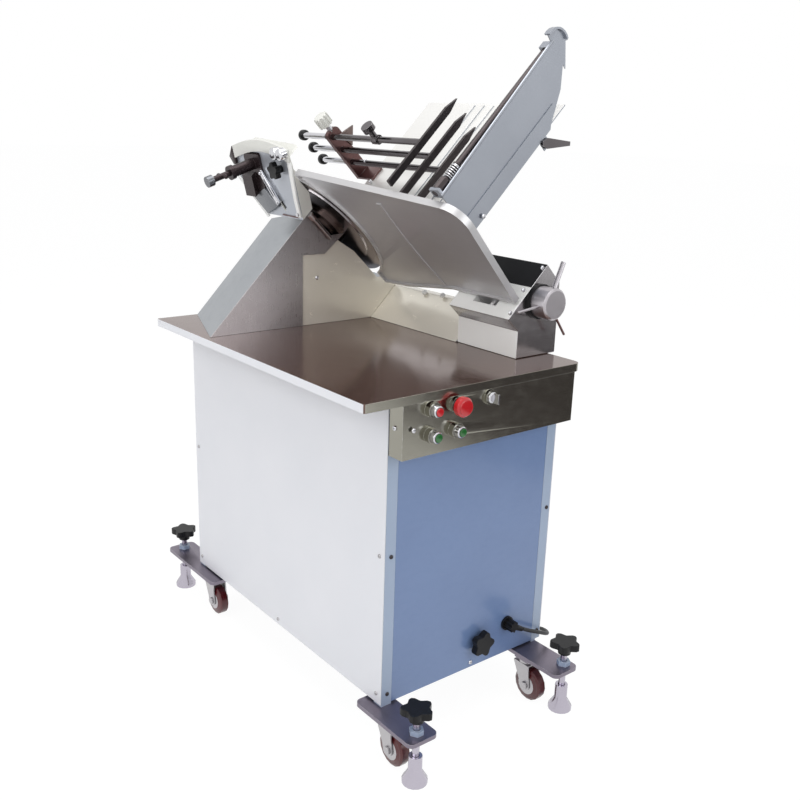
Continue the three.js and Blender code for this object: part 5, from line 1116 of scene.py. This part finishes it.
def sheet_screws():
    spots = [(at(*place), way) for place, way in SHEET_SCREWS]
    copies(screw("sheet_screw", SHEET_SCREW_RADIUS), spots, "bright", "base")


def carriage_screws():
    wall_spots = [(head_at(*WALL_SCREW), FRONT)]
    copies(screw("side_wall_screw", SHEET_SCREW_RADIUS), wall_spots, "bright", "carriage")
    spots = [(head_at(*place), FRONT) for place in BRACKET_SCREWS]
    copies(screw("bracket_screw", SHEET_SCREW_RADIUS, cross=False), spots, "bright", "carriage")


# The dark three-cornered plate at the top of the divider bracket
GUSSET_MIDDLE = (136.667, -69.0, 122.667)
GUSSET_RADIUS = 24.0
GUSSET_THICK = 5.0
GUSSET_EDGE = 1.0


def bracket_gusset():
    gusset = round_all(disc("bracket_gusset", GUSSET_RADIUS, GUSSET_THICK, 3), GUSSET_EDGE)
    fitted(placed(gusset, head_at(*GUSSET_MIDDLE), FRONT, pi / 2), "dark", "carriage")


# Round-headed clips along the foot of the head base
CLIPS = [(398.0, 394.0, 783.0), (399.0, 334.0, 786.0)]
CLIP_RADIUS = 6.0
CLIP_HEIGHT = 6.0
CLIP_DOME = 3.0


def head_base_clips():
    clip = round_top(disc("head_base_clip", CLIP_RADIUS, CLIP_HEIGHT), CLIP_DOME, segments=4)
    copies(clip, [(at(*place), UP_BLADE) for place in CLIPS], "satin", "base")


# Black rubber grips over the balls at the back ends of the three rods
ROD_U = 110.0
ROD_HEIGHTS = [143.0, 107.0, 71.0]
GRIP_FROM = 37.0
GRIP_RADIUS = 11.5
GRIP_LENGTH = 19.0
GRIP_EDGE_SHARE = 0.55


def rod_grips():
    for rod, height in zip(RODS, ROD_HEIGHTS):
        grip = disc(f"{rod}_grip", GRIP_RADIUS, GRIP_LENGTH)
        round_all(grip, GRIP_RADIUS * GRIP_EDGE_SHARE, segments=5)
        fitted(placed(grip, head_at(ROD_U, GRIP_FROM, height), -FRONT), "black", BODY_OF[rod])


# The white fluted knob that clamps the divider bracket, on its stem
STEM_FOOT = (115.0, -65.0, 158.5)
STEM_RADIUS = 6.0
STEM_LENGTH = 16.0
KNOB_FOOT = (115.0, -65.0, 172.2)
KNOB_RADIUS = 15.8
KNOB_HEIGHT = 23.6
KNOB_SIDES = 72
KNOB_EDGE_SHARE = 0.16
FLUTES = 10
FLUTE_RADIUS = 3.2
FLUTE_SIDES = 16


def clamp_knob():
    stem = disc("clamp_knob_stem", STEM_RADIUS, STEM_LENGTH)
    fitted(placed(stem, head_at(*STEM_FOOT), UP_BLADE), "bright", "clamp_knob")
    knob = disc("clamp_knob", KNOB_RADIUS, KNOB_HEIGHT, KNOB_SIDES)
    round_top(knob, KNOB_HEIGHT * KNOB_EDGE_SHARE, segments=3)
    for number in range(FLUTES):
        rim = Matrix.Rotation(2 * pi * number / FLUTES, 3, "Z") @ Vector((KNOB_RADIUS, 0, -KNOB_HEIGHT / 2))
        tool = disc("flute", FLUTE_RADIUS, KNOB_HEIGHT * 2, FLUTE_SIDES)
        cut(knob, placed(tool, rim * MM, UP))
    fitted(placed(knob, head_at(*KNOB_FOOT), UP_BLADE), "hood", "clamp_knob")
    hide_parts("bracket_clamp_knob")


# The wound spring on the guide rod, with a closed curl at each end; the shares are of its wire
SPRING_FROM = 37.2
SPRING_TO = 68.4
SPRING_V = -482.0
SPRING_W = 132.0
SPRING_CURLS = 5
SPRING_RADIUS = 8.9
SPRING_WIRE = 1.15
SPRING_STEPS = 24
WIRE_ROUNDING = 3
END_CURL_SHARE = 1.8
BOTH_ENDS_SHARE = 5.6


def spring_points():
    points = []
    for step in range((SPRING_CURLS + 2) * SPRING_STEPS + 1):
        turn = step / SPRING_STEPS
        share = min(max((turn - 1) / SPRING_CURLS, 0), 1)
        end_turns = min(turn, 1) + max(turn - SPRING_CURLS - 1, 0)
        u = SPRING_FROM + SPRING_WIRE + SPRING_WIRE * END_CURL_SHARE * end_turns
        u += share * (SPRING_TO - SPRING_FROM - SPRING_WIRE * BOTH_ENDS_SHARE)
        angle = 2 * pi * turn
        v = SPRING_V + SPRING_RADIUS * sin(angle)
        w = SPRING_W + SPRING_RADIUS * cos(angle)
        points.append(head_at(u, v, w))
    return points


def guide_spring():
    points = spring_points()
    curve = bpy.data.curves.new("guide spring", "CURVE")
    curve.dimensions = "3D"
    curve.bevel_depth = SPRING_WIRE * MM
    curve.bevel_resolution = WIRE_ROUNDING
    curve.use_fill_caps = True
    spline = curve.splines.new("POLY")
    spline.points.add(len(points) - 1)
    for knot, place in zip(spline.points, points):
        knot.co = (*place, 1)
    only(new_object("guide_spring_wound", curve))
    bpy.ops.object.convert(target="MESH")
    spring = fitted(bpy.context.object, "bright", "carriage")
    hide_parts("guide_spring")


button_lenses()
for plate in FACE_PLATES:
    face_plate(*plate)
honing_lever()
shroud_fasteners()
post_screws()
side_panel_screws()
bracket_gusset()
sheet_screws()
carriage_screws()
head_base_clips()
rod_grips()
clamp_knob()
guide_spring()

cord.data.materials.append(MATERIALS["rubber"])
